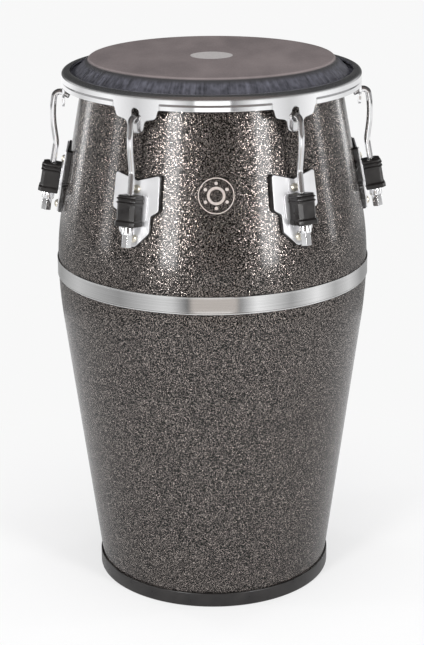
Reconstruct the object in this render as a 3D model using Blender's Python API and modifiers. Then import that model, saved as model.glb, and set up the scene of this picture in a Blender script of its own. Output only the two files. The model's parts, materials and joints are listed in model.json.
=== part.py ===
"""A tumba: a tall single-headed hand drum with a fibreglass shell and six hooked tuning rods.

Metres, +Z up. The origin is on the floor, in the middle of the foot ring. Lug 1 faces +X, and
the other lugs follow every 60 degrees, anticlockwise from above.
"""

import math

import bmesh
import bpy
from mathutils import Matrix, Vector

# The whole drum
HEIGHT = 0.711
LUGS = 6
SEGMENTS = 48
SEAT_GAP = 0.0003

# The shell, from its bearing edge down to the foot
BEARING_RADIUS = 0.1565
BEARING_FLAT = 0.0012
BEARING_WIDTH = 0.0082
BEARING_FALL = math.radians(50)
EDGE_WALL = 0.0102
EDGE_DEPTH = 0.034
WALL = 0.006
UPPER_TILT = math.radians(10.5)
UPPER_BELLY_ARC = 0.400
BELLY_FROM_TOP = 0.270
LOWER_BELLY_ARC = 0.600
LOWER_TILT = math.radians(7.3)
OUTER_BELLY_STEPS = 3
INNER_BELLY_STEPS = 2

# The steel band round the belly
BAND_BELOW_BELLY = 0.004
BAND_HEIGHT = 0.0227
BAND_SHEET = 0.0008
BAND_BEAD = 0.0004
BAND_BEAD_HEIGHT = 0.0026

# The rubber ring under the foot
FOOT_FLOOR = 0.0042
FOOT_HEIGHT = 0.0195
FOOT_WALL = 0.0022
FOOT_FLANGE_HEIGHT = 0.0135
FOOT_FLANGE_WALL = 0.0025
FOOT_ROUND = 0.0008

# The skin and the flesh hoop that it is tucked round
SKIN = 0.0018
COLLAR_FALL = math.radians(44)
COLLAR_DROP = 0.0207
CREASE_ROUND = 0.0016
HOOP_WIDTH = 0.006
HOOP_HEIGHT = 0.007
SKIN_TUCK = 0.0095

# The rim that pulls the skin down
RIM_SHEET = 0.003
RIM_LIP_OVER_HOOP = 0.0031
RIM_ROOM = 0.0035
RIM_DEPTH = 0.0174
RIM_ROUND = 0.0055
RIM_ROUND_STEPS = 2
BEAD_OUT = 0.0019
BEAD_HEIGHT = 0.0062
BEAD_ROUND = 0.0014
BEAD_END = 0.033

# The six ears of the rim, as half widths and heights
EAR_DEPTH = 0.0296
EAR_TIP = 0.0098
EAR_TIP_ROUND = 0.0078
EAR_NECK = 0.0122
EAR_NECK_Z = 0.0150
EAR_SHOULDER = 0.0273
EAR_SHOULDER_Z = 0.0184
EAR_ROUND = 0.005
EAR_ROOT = 0.0302
EAR_INTO_WALL = 0.006
EAR_INSET = 0.0001
SLOT_WIDTH = 0.0106
SLOT_LENGTH = 0.0181
SLOT_FROM_TIP = 0.0124

# How far the middle of a lug is below the rim's wall
LUG_BELOW_RIM = 0.1162

# The rubber gasket and the chrome plate on it, as half widths and heights from the lug's middle
GASKET = 0.0034
GASKET_MARGIN = 0.001
PLATE = 0.002
PLATE_TOP = 0.0360
PLATE_NOTCH = 0.0270
PLATE_TOP_HALF = 0.0307
PLATE_WING = -0.0078
PLATE_WING_HALF = 0.0320
PLATE_WAIST = -0.0145
PLATE_WAIST_HALF = 0.0215
PLATE_TONGUE = -0.0360
PLATE_TONGUE_HALF = 0.0209
PLATE_TIP = -0.0570
PLATE_ROUND = 0.004
PLATE_TIP_ROUND = 0.006

# The saddle, the two arms and the receiver on the plate
SADDLE_HALF = 0.0195
SADDLE_TOP = 0.0110
SADDLE_BOTTOM = -0.0220
SADDLE_RISE = 0.002
SADDLE_ROUND = 0.005
ROD_OFFSET = 0.0144
RECEIVER_WIDTH = 0.017
RECEIVER_TOP = 0.0065
RECEIVER_BOTTOM = -0.0275
ARM_WIDTH = 0.008
ARM_HEIGHT = 0.005
ARM_HEIGHTS = (0.0, -0.018)

# The rubber boot over the receiver
BOOT_HALF = 0.0124
BOOT_CORNER = 0.0045
BOOT_TOP = 0.0100
BOOT_BOTTOM = -0.0282
BOOT_FLARE = 0.0015
BOOT_FLARE_START = -0.0200
BOOT_CROWN = 0.0012
BOOT_RIB = 0.0009
BOOT_RIB_HEIGHT = 0.0024
BOOT_RIBS = (0.0005, 0.0055)
BOOT_SLACK = 0.0004

# The tuning rod and its hook
ROD_RADIUS = 0.004
ROD_SIDES = 8
ROD_CLEARANCE = 0.0005
HOOK_ROOM = 0.0053
HOOK_RADIUS = 0.0075
HOOK_DROOP = math.radians(15)
HOOK_TIP = 0.0092
HOOK_STEPS = 4
LOWER_BEND_RADIUS = 0.035
UPPER_BEND_STEPS = 3
LOWER_BEND_STEPS = 2
BEND_ANGLE = math.radians(17)
BEND_STRAIGHT = 0.0132

# The tuning nut and its washer
WASHER_RADIUS = 0.0084
WASHER = 0.0014
COLLAR_RADIUS = 0.0082
COLLAR_LENGTH = 0.0092
HEX_ACROSS_FLATS = 0.0123
HEX_LENGTH = 0.0155
ROUND_SIDES = 10
ROD_END_INSIDE_NUT = 0.002

# The two bolts of a lug, and the strip inside the shell that they screw into
BOLT_HEIGHTS = {"upper_bolt": 0.017, "lower_bolt": -0.044}
BOLT_RADIUS = 0.003
BOLT_CLEARANCE = 0.0005
BOLT_SIDES = 8
DOME_RADIUS = 0.00475
DOME_HEIGHT = 0.0038
STRIP_WIDTH = 0.020
STRIP = 0.0025
STRIP_MARGIN = 0.008
STRIP_SLACK = 0.0005
WELD_NUT_RADIUS = 0.0058
WELD_NUT = 0.005
BOLT_SHORT_OF_NUT = 0.001


# Sizes that follow from the ones above

LUG_STEP = 2 * math.pi / LUGS
FACET_SLOPE = math.tan(math.pi / SEGMENTS)

CREST_Z = HEIGHT - SKIN - SEAT_GAP
BELLY_Z = HEIGHT - BELLY_FROM_TOP
BAND_Z = BELLY_Z - BAND_BELOW_BELLY
SHELL_TOP_RADIUS = BEARING_RADIUS + BEARING_WIDTH
SHELL_TOP_Z = CREST_Z - BEARING_WIDTH * math.tan(BEARING_FALL)
UPPER_TANGENT_Z = BELLY_Z + UPPER_BELLY_ARC * math.sin(UPPER_TILT)
LOWER_TANGENT_Z = BELLY_Z - LOWER_BELLY_ARC * math.sin(LOWER_TILT)
BELLY_RADIUS = (
    SHELL_TOP_RADIUS
    + (SHELL_TOP_Z - UPPER_TANGENT_Z) * math.tan(UPPER_TILT)
    + UPPER_BELLY_ARC * (1 - math.cos(UPPER_TILT))
)
SHELL_BOTTOM_Z = FOOT_FLOOR + SEAT_GAP


def shell_radius(z):
    """The shell's outer radius at a height: a cone, two arcs that meet at the belly, and a cone."""
    if z >= BELLY_Z:
        arc, tilt, tangent_z = UPPER_BELLY_ARC, UPPER_TILT, UPPER_TANGENT_Z
    else:
        arc, tilt, tangent_z = LOWER_BELLY_ARC, LOWER_TILT, LOWER_TANGENT_Z
    if abs(z - BELLY_Z) < abs(tangent_z - BELLY_Z):
        return BELLY_RADIUS - arc + math.sqrt(arc**2 - (z - BELLY_Z) ** 2)
    tangent_radius = BELLY_RADIUS - arc * (1 - math.cos(tilt))
    return tangent_radius - abs(z - tangent_z) * math.tan(tilt)


# The skin leaves the bearing edge's outer corner along the collar, and lies flat on the hoop
SKIN_OFFSET = SKIN + SEAT_GAP
SHOULDER_Z = HEIGHT - COLLAR_DROP
COLLAR_LINE_RADIUS = BEARING_RADIUS + BEARING_FLAT / 2 + SKIN_OFFSET * math.sin(COLLAR_FALL)
COLLAR_LINE_Z = CREST_Z + SKIN_OFFSET * math.cos(COLLAR_FALL)
CREASE_RADIUS = COLLAR_LINE_RADIUS - (HEIGHT - COLLAR_LINE_Z) / math.tan(COLLAR_FALL)
SHOULDER_RADIUS = COLLAR_LINE_RADIUS + (COLLAR_LINE_Z - SHOULDER_Z) / math.tan(COLLAR_FALL)
HOOP_INNER_RADIUS = SHOULDER_RADIUS + SEAT_GAP
HOOP_OUTER_RADIUS = HOOP_INNER_RADIUS + HOOP_WIDTH
HOOP_TOP_Z = SHOULDER_Z - SKIN_OFFSET
SKIN_OUTER_RADIUS = HOOP_OUTER_RADIUS + SKIN_OFFSET

RIM_LIP_RADIUS = HOOP_INNER_RADIUS + RIM_LIP_OVER_HOOP
RIM_LIP_Z = SHOULDER_Z + SEAT_GAP
RIM_TOP_Z = RIM_LIP_Z + RIM_SHEET
RIM_INNER_RADIUS = SKIN_OUTER_RADIUS + RIM_ROOM
RIM_OUTER_RADIUS = RIM_INNER_RADIUS + RIM_SHEET
RIM_BOTTOM_Z = RIM_TOP_Z - RIM_DEPTH
EAR_TIP_Z = RIM_BOTTOM_Z - EAR_DEPTH
EAR_INNER_RADIUS = RIM_INNER_RADIUS + EAR_INSET
EAR_OUTER_RADIUS = RIM_OUTER_RADIUS - EAR_INSET
EAR_MIDDLE_RADIUS = (EAR_INNER_RADIUS + EAR_OUTER_RADIUS) / 2
SLOT_BOTTOM_Z = EAR_TIP_Z + SLOT_FROM_TIP

# A lug stands on the upper cone. In its frame X points out of the shell, Y along it and Z up it
LUG_Z = RIM_BOTTOM_Z - LUG_BELOW_RIM
LUG_STACK = PLATE + SEAT_GAP + GASKET + SEAT_GAP
PLATE_RADIUS = shell_radius(LUG_Z) + LUG_STACK / math.cos(UPPER_TILT)
GASKET_FACE = -PLATE - SEAT_GAP
SHELL_FACE = -LUG_STACK
BOLT_HOLE_RADIUS = BOLT_RADIUS + BOLT_CLEARANCE
ROD_HOLE_RADIUS = ROD_RADIUS + ROD_CLEARANCE
WASHER_TOP = RECEIVER_BOTTOM - SEAT_GAP
NUT_TOP = WASHER_TOP - WASHER - SEAT_GAP
NUT_BOTTOM = NUT_TOP - COLLAR_LENGTH - HEX_LENGTH
ROD_BOTTOM = NUT_BOTTOM + ROD_END_INSIDE_NUT


def lug_matrix(number):
    """The place of a lug's frame in the world."""
    turn = Matrix.Rotation(number * LUG_STEP, 4, "Z")
    reach = Matrix.Translation((PLATE_RADIUS, 0, LUG_Z))
    return turn @ reach @ Matrix.Rotation(-UPPER_TILT, 4, "Y")


def in_lug(radius, z):
    """(out, up) in the lug's frame of a point on its middle plane."""
    out, up = radius - PLATE_RADIUS, z - LUG_Z
    return (
        out * math.cos(UPPER_TILT) + up * math.sin(UPPER_TILT),
        up * math.cos(UPPER_TILT) - out * math.sin(UPPER_TILT),
    )


def shell_face(up):
    """How far out the shell's surface lies in the lug's frame, at a height up the lug."""
    z = LUG_Z + up * math.cos(UPPER_TILT) + SHELL_FACE * math.sin(UPPER_TILT)
    return in_lug(shell_radius(z), z)[0]


# A strip lies clear of the inner wall at both its ends, the lower of which may be on the belly's curve
STRIP_TOP = max(BOLT_HEIGHTS.values()) + STRIP_MARGIN
STRIP_BOTTOM = min(BOLT_HEIGHTS.values()) - STRIP_MARGIN
STRIP_SEAT = min(shell_face(STRIP_TOP), shell_face(STRIP_BOTTOM)) - WALL
STRIP_FACE = STRIP_SEAT - STRIP_WIDTH / 2 * FACET_SLOPE - STRIP_SLACK
BOLT_END = STRIP_FACE - STRIP - WELD_NUT + BOLT_SHORT_OF_NUT


# The scene and its materials

for leftover in list(bpy.data.objects):
    bpy.data.objects.remove(leftover, do_unlink=True)

PARTS = bpy.data.collections.new("tumba")
CUTTERS = bpy.data.collections.new("cutters")
for group in (PARTS, CUTTERS):
    bpy.context.scene.collection.children.link(group)


def material(name, colour, roughness, metallic=0.0):
    made = bpy.data.materials.new(name)
    made.use_nodes = True
    shader = made.node_tree.nodes["Principled BSDF"]
    shader.inputs["Base Color"].default_value = (*colour, 1.0)
    shader.inputs["Roughness"].default_value = roughness
    shader.inputs["Metallic"].default_value = metallic
    made.diffuse_color = (*colour, 1.0)
    made.roughness = roughness
    made.metallic = metallic
    return made


CHARCOAL_GEL = material("charcoal_gel_coat", (0.035, 0.033, 0.037), 0.18)
RAW_HIDE = material("dark_hide", (0.19, 0.16, 0.16), 0.55)
CHROME = material("chrome", (0.78, 0.78, 0.78), 0.08, 1.0)
BRUSHED_STEEL = material("brushed_steel", (0.60, 0.59, 0.57), 0.30, 1.0)
ZINC_STEEL = material("zinc_steel", (0.50, 0.50, 0.48), 0.40, 1.0)
BLACK_RUBBER = material("black_rubber", (0.018, 0.017, 0.016), 0.60)


# Tools for making shapes


def new_object(name, data, collection=PARTS):
    made = bpy.data.objects.new(name, data)
    collection.objects.link(made)
    return made


def finished(name, mesh, finish, parent=None, location=(0, 0, 0)):
    """A node of the drum, shaded smooth with its sharp edges kept."""
    if not mesh.materials:
        mesh.materials.append(finish)
    mesh.shade_smooth()
    mesh.set_sharp_from_angle(angle=math.radians(35))
    made = new_object(name, mesh)
    made.parent = parent
    made.location = location
    return made


def baked(obj):
    """The object's evaluated mesh. The object itself is removed."""
    bpy.context.view_layer.update()
    graph = bpy.context.evaluated_depsgraph_get()
    mesh = bpy.data.meshes.new_from_object(obj.evaluated_get(graph))
    bpy.data.objects.remove(obj, do_unlink=True)
    mesh.materials.clear()
    return mesh


def turned(name, profile, steps=SEGMENTS, collection=PARTS, closed=True):
    """A live object: the profile's (radius, height) points screwed round Z."""
    mesh = bpy.data.meshes.new(name)
    count = len(profile)
    edges = [(i, (i + 1) % count) for i in range(count if closed else count - 1)]
    mesh.from_pydata([(radius, 0, z) for radius, z in profile], edges, [])
    made = new_object(name, mesh, collection)
    screw = made.modifiers.new("turn", "SCREW")
    screw.axis = "Z"
    screw.steps = steps
    screw.render_steps = steps
    screw.use_merge_vertices = True
    screw.merge_threshold = 0.00001
    screw.use_smooth_shade = True
    return made


def turned_mesh(name, profile, steps=SEGMENTS, closed=True):
    return baked(turned(name, profile, steps, CUTTERS, closed))


def filleted(corners, steps=2):
    """A closed outline from (x, y, radius) corners, each rounded by an arc."""
    outline = []
    for index, (x, y, radius) in enumerate(corners):
        corner = Vector((x, y))
        if radius == 0:
            outline.append(corner)
            continue
        before = (Vector(corners[index - 1][:2]) - corner).normalized()
        after = (Vector(corners[(index + 1) % len(corners)][:2]) - corner).normalized()
        half_angle = before.angle(after) / 2
        centre = corner + (before + after).normalized() * (radius / math.sin(half_angle))
        start = corner + before * (radius / math.tan(half_angle)) - centre
        end = corner + after * (radius / math.tan(half_angle)) - centre
        first = math.atan2(start.y, start.x)
        sweep = (math.atan2(end.y, end.x) - first + math.pi) % (2 * math.pi) - math.pi
        for step in range(steps + 1):
            angle = first + sweep * step / steps
            outline.append(centre + radius * Vector((math.cos(angle), math.sin(angle))))
    return outline


def both_sides(half):
    """Corners given up the right side, from the middle line to the middle line, made whole."""
    mirrored = [(-x, y, radius) for x, y, radius in reversed(half) if x != 0]
    return list(half) + mirrored


def plate_mesh(name, outline, low, high):
    """A flat outline in the lug's Y and Z, from low to high along its X."""
    curve = bpy.data.curves.new(name, "CURVE")
    curve.dimensions = "2D"
    curve.fill_mode = "BOTH"
    curve.extrude = (high - low) / 2
    spline = curve.splines.new("POLY")
    spline.points.add(len(outline) - 1)
    for point, (x, y) in zip(spline.points, outline):
        point.co = (x, y, 0, 1)
    spline.use_cyclic_u = True
    mesh = baked(new_object(name, curve, CUTTERS))
    bpy.data.curves.remove(curve)
    stand = Matrix(((0, 0, 1, (low + high) / 2), (1, 0, 0, 0), (0, 1, 0, 0), (0, 0, 0, 1)))
    return welded(mesh, stand)


def welded(mesh, place=Matrix.Identity(4)):
    """The mesh with its doubled points merged, its faces turned out and its place applied."""
    work = bmesh.new()
    work.from_mesh(mesh)
    bmesh.ops.remove_doubles(work, verts=work.verts, dist=0.000001)
    bmesh.ops.recalc_face_normals(work, faces=work.faces)
    bmesh.ops.transform(work, matrix=place, verts=work.verts)
    work.to_mesh(mesh)
    work.free()
    return mesh


def box_mesh(name, low, high):
    work = bmesh.new()
    size = Vector(high) - Vector(low)
    middle = (Vector(high) + Vector(low)) / 2
    place = Matrix.Translation(middle) @ Matrix.Diagonal((*size, 1))
    bmesh.ops.create_cube(work, size=1, matrix=place)
    mesh = bpy.data.meshes.new(name)
    work.to_mesh(mesh)
    work.free()
    return mesh


def rod_mesh(name, radius, low, high, sides, place=Matrix.Identity(4)):
    """A round or many-sided bar along Z, from low to high, then placed."""
    work = bmesh.new()
    bmesh.ops.create_cone(
        work,
        cap_ends=True,
        segments=sides,
        radius1=radius,
        radius2=radius,
        depth=high - low,
        matrix=place @ Matrix.Translation((0, 0, (low + high) / 2)),
    )
    mesh = bpy.data.meshes.new(name)
    work.to_mesh(mesh)
    work.free()
    return mesh


def lofted(name, sections):
    """A closed body through rings of equally many points, from the lowest to the highest."""
    work = bmesh.new()
    rings = [[work.verts.new(point) for point in section] for section in sections]
    count = len(rings[0])
    for lower, upper in zip(rings, rings[1:]):
        for i in range(count):
            j = (i + 1) % count
            work.faces.new((lower[i], lower[j], upper[j], upper[i]))
    work.faces.new(reversed(rings[0]))
    work.faces.new(rings[-1])
    bmesh.ops.recalc_face_normals(work, faces=work.faces)
    mesh = bpy.data.meshes.new(name)
    work.to_mesh(mesh)
    work.free()
    return mesh


def combined(mesh, steps):
    """The mesh after a list of (operation, other mesh, matrix) Booleans."""
    base = new_object("work", mesh, CUTTERS)
    helpers = []
    for operation, other, place in steps:
        helper = new_object("helper", other, CUTTERS)
        helper.matrix_world = place
        helpers.append(helper)
        change = base.modifiers.new(operation.lower(), "BOOLEAN")
        change.operation = operation
        change.solver = "EXACT"
        change.object = helper
    result = baked(base)
    for helper in helpers:
        bpy.data.objects.remove(helper, do_unlink=True)
    return result


IN_PLACE = Matrix.Identity(4)
OUTWARDS = Matrix.Rotation(math.pi / 2, 4, "Y")


def bolt_hole(height, radius=BOLT_HOLE_RADIUS, inner=None, outer=0.010):
    """A bar along the lug's X that stands for a bolt's hole."""
    inner = 2 * BOLT_END if inner is None else inner
    place = Matrix.Translation((0, 0, height)) @ OUTWARDS
    return rod_mesh("bolt_hole", radius, inner, outer, BOLT_SIDES, place)


# The shell, its belly band and its foot ring


def shell_heights(low, high, steps=OUTER_BELLY_STEPS):
    """The heights that the shell's outline needs between two others, from high to low."""
    arcs = [
        BELLY_Z + arc * math.sin(tilt * step / steps)
        for arc, tilt in ((UPPER_BELLY_ARC, UPPER_TILT), (-LOWER_BELLY_ARC, LOWER_TILT))
        for step in range(steps + 1)
    ]
    return sorted({high, low, *(z for z in arcs if low < z < high)}, reverse=True)


def make_shell():
    """An open tube: bearing edge on top, thick wall below it, then an even wall to the floor."""
    outer = [(shell_radius(z), z) for z in shell_heights(SHELL_BOTTOM_Z, SHELL_TOP_Z)]
    edge = [
        (BEARING_RADIUS - BEARING_FLAT / 2, CREST_Z),
        (BEARING_RADIUS + BEARING_FLAT / 2, CREST_Z),
    ]
    thin_z = CREST_Z - EDGE_DEPTH
    inner_heights = reversed(shell_heights(SHELL_BOTTOM_Z, thin_z, INNER_BELLY_STEPS))
    inner = [(shell_radius(z) - WALL, z) for z in inner_heights]
    lip = [(SHELL_TOP_RADIUS - EDGE_WALL, SHELL_TOP_Z)]
    shell = turned("shell", edge + outer + inner + lip)
    shell.data.materials.append(CHARCOAL_GEL)

    holes = bpy.data.meshes.new("shell_bolt_holes")
    work = bmesh.new()
    for number in range(LUGS):
        for height in BOLT_HEIGHTS.values():
            hole = bolt_hole(height)
            hole.transform(lug_matrix(number))
            work.from_mesh(hole)
            bpy.data.meshes.remove(hole)
    work.to_mesh(holes)
    work.free()
    cutter = new_object("shell_bolt_holes", holes, CUTTERS)
    cutter.hide_render = True
    cutter.display_type = "WIRE"
    drill = shell.modifiers.new("bolt_holes", "BOOLEAN")
    drill.operation = "DIFFERENCE"
    drill.solver = "EXACT"
    drill.object = cutter
    return shell


def make_band():
    """A thin strap whose two edges stand a little proud, rolled to the belly's curve."""
    top, bottom = BAND_Z + BAND_HEIGHT / 2, BAND_Z - BAND_HEIGHT / 2
    face = BELLY_RADIUS + SEAT_GAP + BAND_SHEET
    outer = [
        (face + BAND_BEAD, top),
        (face + BAND_BEAD, top - BAND_BEAD_HEIGHT),
        (face, top - BAND_BEAD_HEIGHT - BAND_BEAD),
        (face, bottom + BAND_BEAD_HEIGHT + BAND_BEAD),
        (face + BAND_BEAD, bottom + BAND_BEAD_HEIGHT),
        (face + BAND_BEAD, bottom),
    ]
    inner = [(BELLY_RADIUS + SEAT_GAP, bottom), (BELLY_RADIUS + SEAT_GAP, top)]
    band = turned("belly_band", outer + inner)
    band.data.materials.append(BRUSHED_STEEL)
    return band


def make_foot_ring():
    """A rubber channel pressed on the shell's lower edge."""
    outside = shell_radius(FOOT_HEIGHT) + SEAT_GAP + FOOT_WALL
    inside = shell_radius(SHELL_BOTTOM_Z) - WALL - SEAT_GAP
    outer = [
        (outside - FOOT_ROUND, FOOT_HEIGHT),
        (outside, FOOT_HEIGHT - FOOT_ROUND),
        (outside, 0),
    ]
    bottom = [(inside - FOOT_FLANGE_WALL, 0)]
    channel = [
        (inside - FOOT_FLANGE_WALL, FOOT_FLANGE_HEIGHT),
        (inside, FOOT_FLANGE_HEIGHT),
        (inside, FOOT_FLOOR),
        (shell_radius(FOOT_FLOOR) + SEAT_GAP, FOOT_FLOOR),
        (shell_radius(FOOT_HEIGHT) + SEAT_GAP, FOOT_HEIGHT),
    ]
    ring = turned("foot_ring", outer + bottom + channel)
    ring.data.materials.append(BLACK_RUBBER)
    return ring


# The head: the skin, its hoop and the rim


def make_skin():
    """One sheet: flat on top, folded down the collar, over the hoop and down its outer side."""
    crease = CREASE_ROUND * math.tan(COLLAR_FALL / 2)
    outer = [
        (0, HEIGHT),
        (CREASE_RADIUS - crease, HEIGHT),
        (
            CREASE_RADIUS + crease * math.cos(COLLAR_FALL),
            HEIGHT - crease * math.sin(COLLAR_FALL),
        ),
        (SHOULDER_RADIUS, SHOULDER_Z),
        (SKIN_OUTER_RADIUS - SKIN / 2, SHOULDER_Z),
        (SKIN_OUTER_RADIUS, SHOULDER_Z - SKIN / 2),
        (SKIN_OUTER_RADIUS, SHOULDER_Z - SKIN_TUCK),
    ]
    under_crease = CREASE_RADIUS - SKIN * math.tan(COLLAR_FALL / 2)
    under_shoulder = SHOULDER_RADIUS - SKIN * math.tan(COLLAR_FALL / 2)
    inner = [
        (SKIN_OUTER_RADIUS - SKIN, SHOULDER_Z - SKIN_TUCK),
        (SKIN_OUTER_RADIUS - SKIN, SHOULDER_Z - SKIN),
        (under_shoulder, SHOULDER_Z - SKIN),
        (under_crease, HEIGHT - SKIN),
        (0, HEIGHT - SKIN),
    ]
    skin = turned("head_skin", outer + inner, closed=False)
    skin.data.materials.append(RAW_HIDE)
    return skin


def make_hoop():
    """The ring inside the skin's edge."""
    bottom = HOOP_TOP_Z - HOOP_HEIGHT
    profile = [
        (HOOP_OUTER_RADIUS, HOOP_TOP_Z),
        (HOOP_OUTER_RADIUS, bottom),
        (HOOP_INNER_RADIUS, bottom),
        (HOOP_INNER_RADIUS, HOOP_TOP_Z),
    ]
    hoop = turned("flesh_hoop", profile)
    hoop.data.materials.append(ZINC_STEEL)
    return hoop


def rim_arc(radius, middle_radius, middle_z, steps):
    """A quarter turn from the top of the rim's shoulder to its wall."""
    return [
        (
            middle_radius + radius * math.sin(math.pi / 2 * step / steps),
            middle_z + radius * math.cos(math.pi / 2 * step / steps),
        )
        for step in range(steps + 1)
    ]


def ear_outline():
    """The ear's edge: a round tip, a slim neck, a shoulder and a wide root in the rim's wall."""
    top = RIM_BOTTOM_Z + EAR_INTO_WALL
    half = [
        (EAR_TIP, EAR_TIP_Z, EAR_TIP_ROUND),
        (EAR_NECK, EAR_TIP_Z + EAR_NECK_Z, EAR_ROUND),
        (EAR_SHOULDER, EAR_TIP_Z + EAR_SHOULDER_Z, EAR_ROUND),
        (EAR_ROOT, RIM_BOTTOM_Z, 0),
        (EAR_ROOT, top, 0),
    ]
    return filleted(both_sides(half))


def make_rim():
    """A pressed ring with an inward lip, a rolled bead, and six slotted ears for the hooks."""
    middle_radius = RIM_OUTER_RADIUS - RIM_ROUND
    middle_z = RIM_TOP_Z - RIM_ROUND
    profile = [
        (RIM_LIP_RADIUS, RIM_TOP_Z - RIM_SHEET / 3),
        (RIM_LIP_RADIUS + RIM_SHEET / 3, RIM_TOP_Z),
        *rim_arc(RIM_ROUND, middle_radius, middle_z, RIM_ROUND_STEPS),
        (RIM_OUTER_RADIUS, RIM_BOTTOM_Z),
        (RIM_INNER_RADIUS, RIM_BOTTOM_Z),
        *reversed(rim_arc(RIM_ROUND - RIM_SHEET, middle_radius, middle_z, 1)),
        (RIM_LIP_RADIUS, RIM_LIP_Z),
    ]
    ring = turned_mesh("rim_ring", profile)

    bead_top, bead_bottom = RIM_BOTTOM_Z - BEAD_OUT / 2 + BEAD_HEIGHT, RIM_BOTTOM_Z - BEAD_OUT / 2
    bead_face = RIM_OUTER_RADIUS + BEAD_OUT
    bead_profile = [
        (RIM_OUTER_RADIUS - RIM_SHEET / 2, bead_top),
        (bead_face - BEAD_ROUND, bead_top),
        (bead_face, bead_top - BEAD_ROUND),
        (bead_face, bead_bottom + BEAD_ROUND),
        (bead_face - BEAD_ROUND, bead_bottom),
        (RIM_OUTER_RADIUS - RIM_SHEET / 2, bead_bottom),
    ]
    ear_room = box_mesh(
        "ear_room",
        (RIM_LIP_RADIUS, -BEAD_END, EAR_TIP_Z),
        (RIM_OUTER_RADIUS + 2 * BEAD_OUT, BEAD_END, RIM_TOP_Z),
    )
    turns = [Matrix.Rotation(number * LUG_STEP, 4, "Z") for number in range(LUGS)]
    bead = combined(
        turned_mesh("rim_bead", bead_profile),
        [("DIFFERENCE", ear_room, turn) for turn in turns],
    )

    ear_sleeve = turned_mesh(
        "ear_sleeve",
        [
            (EAR_OUTER_RADIUS, RIM_TOP_Z),
            (EAR_OUTER_RADIUS, EAR_TIP_Z - EAR_DEPTH),
            (EAR_INNER_RADIUS, EAR_TIP_Z - EAR_DEPTH),
            (EAR_INNER_RADIUS, RIM_TOP_Z),
        ],
    )
    through = (RIM_LIP_RADIUS, RIM_OUTER_RADIUS + RIM_SHEET)
    ear = combined(
        plate_mesh("ear", ear_outline(), *through),
        [("INTERSECT", ear_sleeve, IN_PLACE)],
    )
    slot_half = SLOT_WIDTH / 2
    slot_corners = [
        (slot_half, SLOT_BOTTOM_Z, slot_half * 0.98),
        (slot_half, SLOT_BOTTOM_Z + SLOT_LENGTH, slot_half * 0.98),
    ]
    slot = plate_mesh("slot", filleted(both_sides(slot_corners)), *through)
    rim = combined(
        ring,
        [("UNION", bead, IN_PLACE)]
        + [("UNION", ear, turn) for turn in turns]
        + [("DIFFERENCE", slot, turn) for turn in turns],
    )
    return finished("rim", welded(rim), CHROME)


# The pieces of a lug. Each is made once, in the lug's frame, and used six times


def plate_corners(margin=0.0):
    """Half of the side plate's outline: tip, tongue, waist, wing, top corner and notch."""
    return [
        (0, PLATE_TIP - margin, PLATE_TIP_ROUND),
        (PLATE_TONGUE_HALF + margin, PLATE_TONGUE - margin / 2, PLATE_ROUND),
        (PLATE_WAIST_HALF + margin, PLATE_WAIST - margin, PLATE_ROUND),
        (PLATE_WING_HALF + margin, PLATE_WING - margin, PLATE_ROUND),
        (PLATE_TOP_HALF + margin, PLATE_TOP + margin, PLATE_ROUND),
        (0, PLATE_NOTCH + margin, PLATE_ROUND),
    ]


def make_plate_mesh():
    """Plate, saddle, two arms and the bored receiver, welded into one piece."""
    half = RECEIVER_WIDTH / 2
    saddle_corners = [
        (SADDLE_HALF, SADDLE_BOTTOM, SADDLE_ROUND),
        (SADDLE_HALF, SADDLE_TOP, SADDLE_ROUND),
    ]
    saddle = plate_mesh("saddle", filleted(both_sides(saddle_corners), 1), -PLATE / 2, SADDLE_RISE)
    receiver = box_mesh(
        "receiver",
        (ROD_OFFSET - half, -half, RECEIVER_BOTTOM),
        (ROD_OFFSET + half, half, RECEIVER_TOP),
    )
    arms = [
        box_mesh(
            "arm",
            (SADDLE_RISE / 2, -ARM_WIDTH / 2, height - ARM_HEIGHT / 2),
            (ROD_OFFSET - half + SADDLE_RISE / 2, ARM_WIDTH / 2, height + ARM_HEIGHT / 2),
        )
        for height in ARM_HEIGHTS
    ]
    bore = rod_mesh(
        "receiver_bore",
        ROD_HOLE_RADIUS,
        RECEIVER_BOTTOM - WASHER,
        RECEIVER_TOP + WASHER,
        ROUND_SIDES,
        Matrix.Translation((ROD_OFFSET, 0, 0)),
    )
    plate = plate_mesh("side_plate", filleted(both_sides(plate_corners())), -PLATE, 0)
    return combined(
        plate,
        [("UNION", saddle, IN_PLACE), ("UNION", receiver, IN_PLACE)]
        + [("UNION", arm, IN_PLACE) for arm in arms]
        + [("DIFFERENCE", bore, IN_PLACE)]
        + [("DIFFERENCE", bolt_hole(height), IN_PLACE) for height in BOLT_HEIGHTS.values()],
    )


def make_gasket_mesh():
    """A rubber pad of the plate's outline, flat in front and shaped to the shell behind."""
    sag = shell_radius(LUG_Z) * (1 - math.cos(PLATE_WING_HALF / shell_radius(LUG_Z)))
    back = SHELL_FACE - 2 * sag
    pad = plate_mesh("plate_gasket", filleted(both_sides(plate_corners(GASKET_MARGIN)), 1), back, GASKET_FACE)
    heights = shell_heights(BELLY_Z, SHELL_TOP_Z)
    clear_of_shell = [(shell_radius(z) + SEAT_GAP / math.cos(UPPER_TILT), z) for z in heights]
    form = turned_mesh("shell_form", [(0, SHELL_TOP_Z), *clear_of_shell, (0, BELLY_Z)], closed=False)
    return combined(
        pad,
        [("DIFFERENCE", form, lug_matrix(0).inverted())]
        + [("DIFFERENCE", bolt_hole(height), IN_PLACE) for height in BOLT_HEIGHTS.values()],
    )


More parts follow.
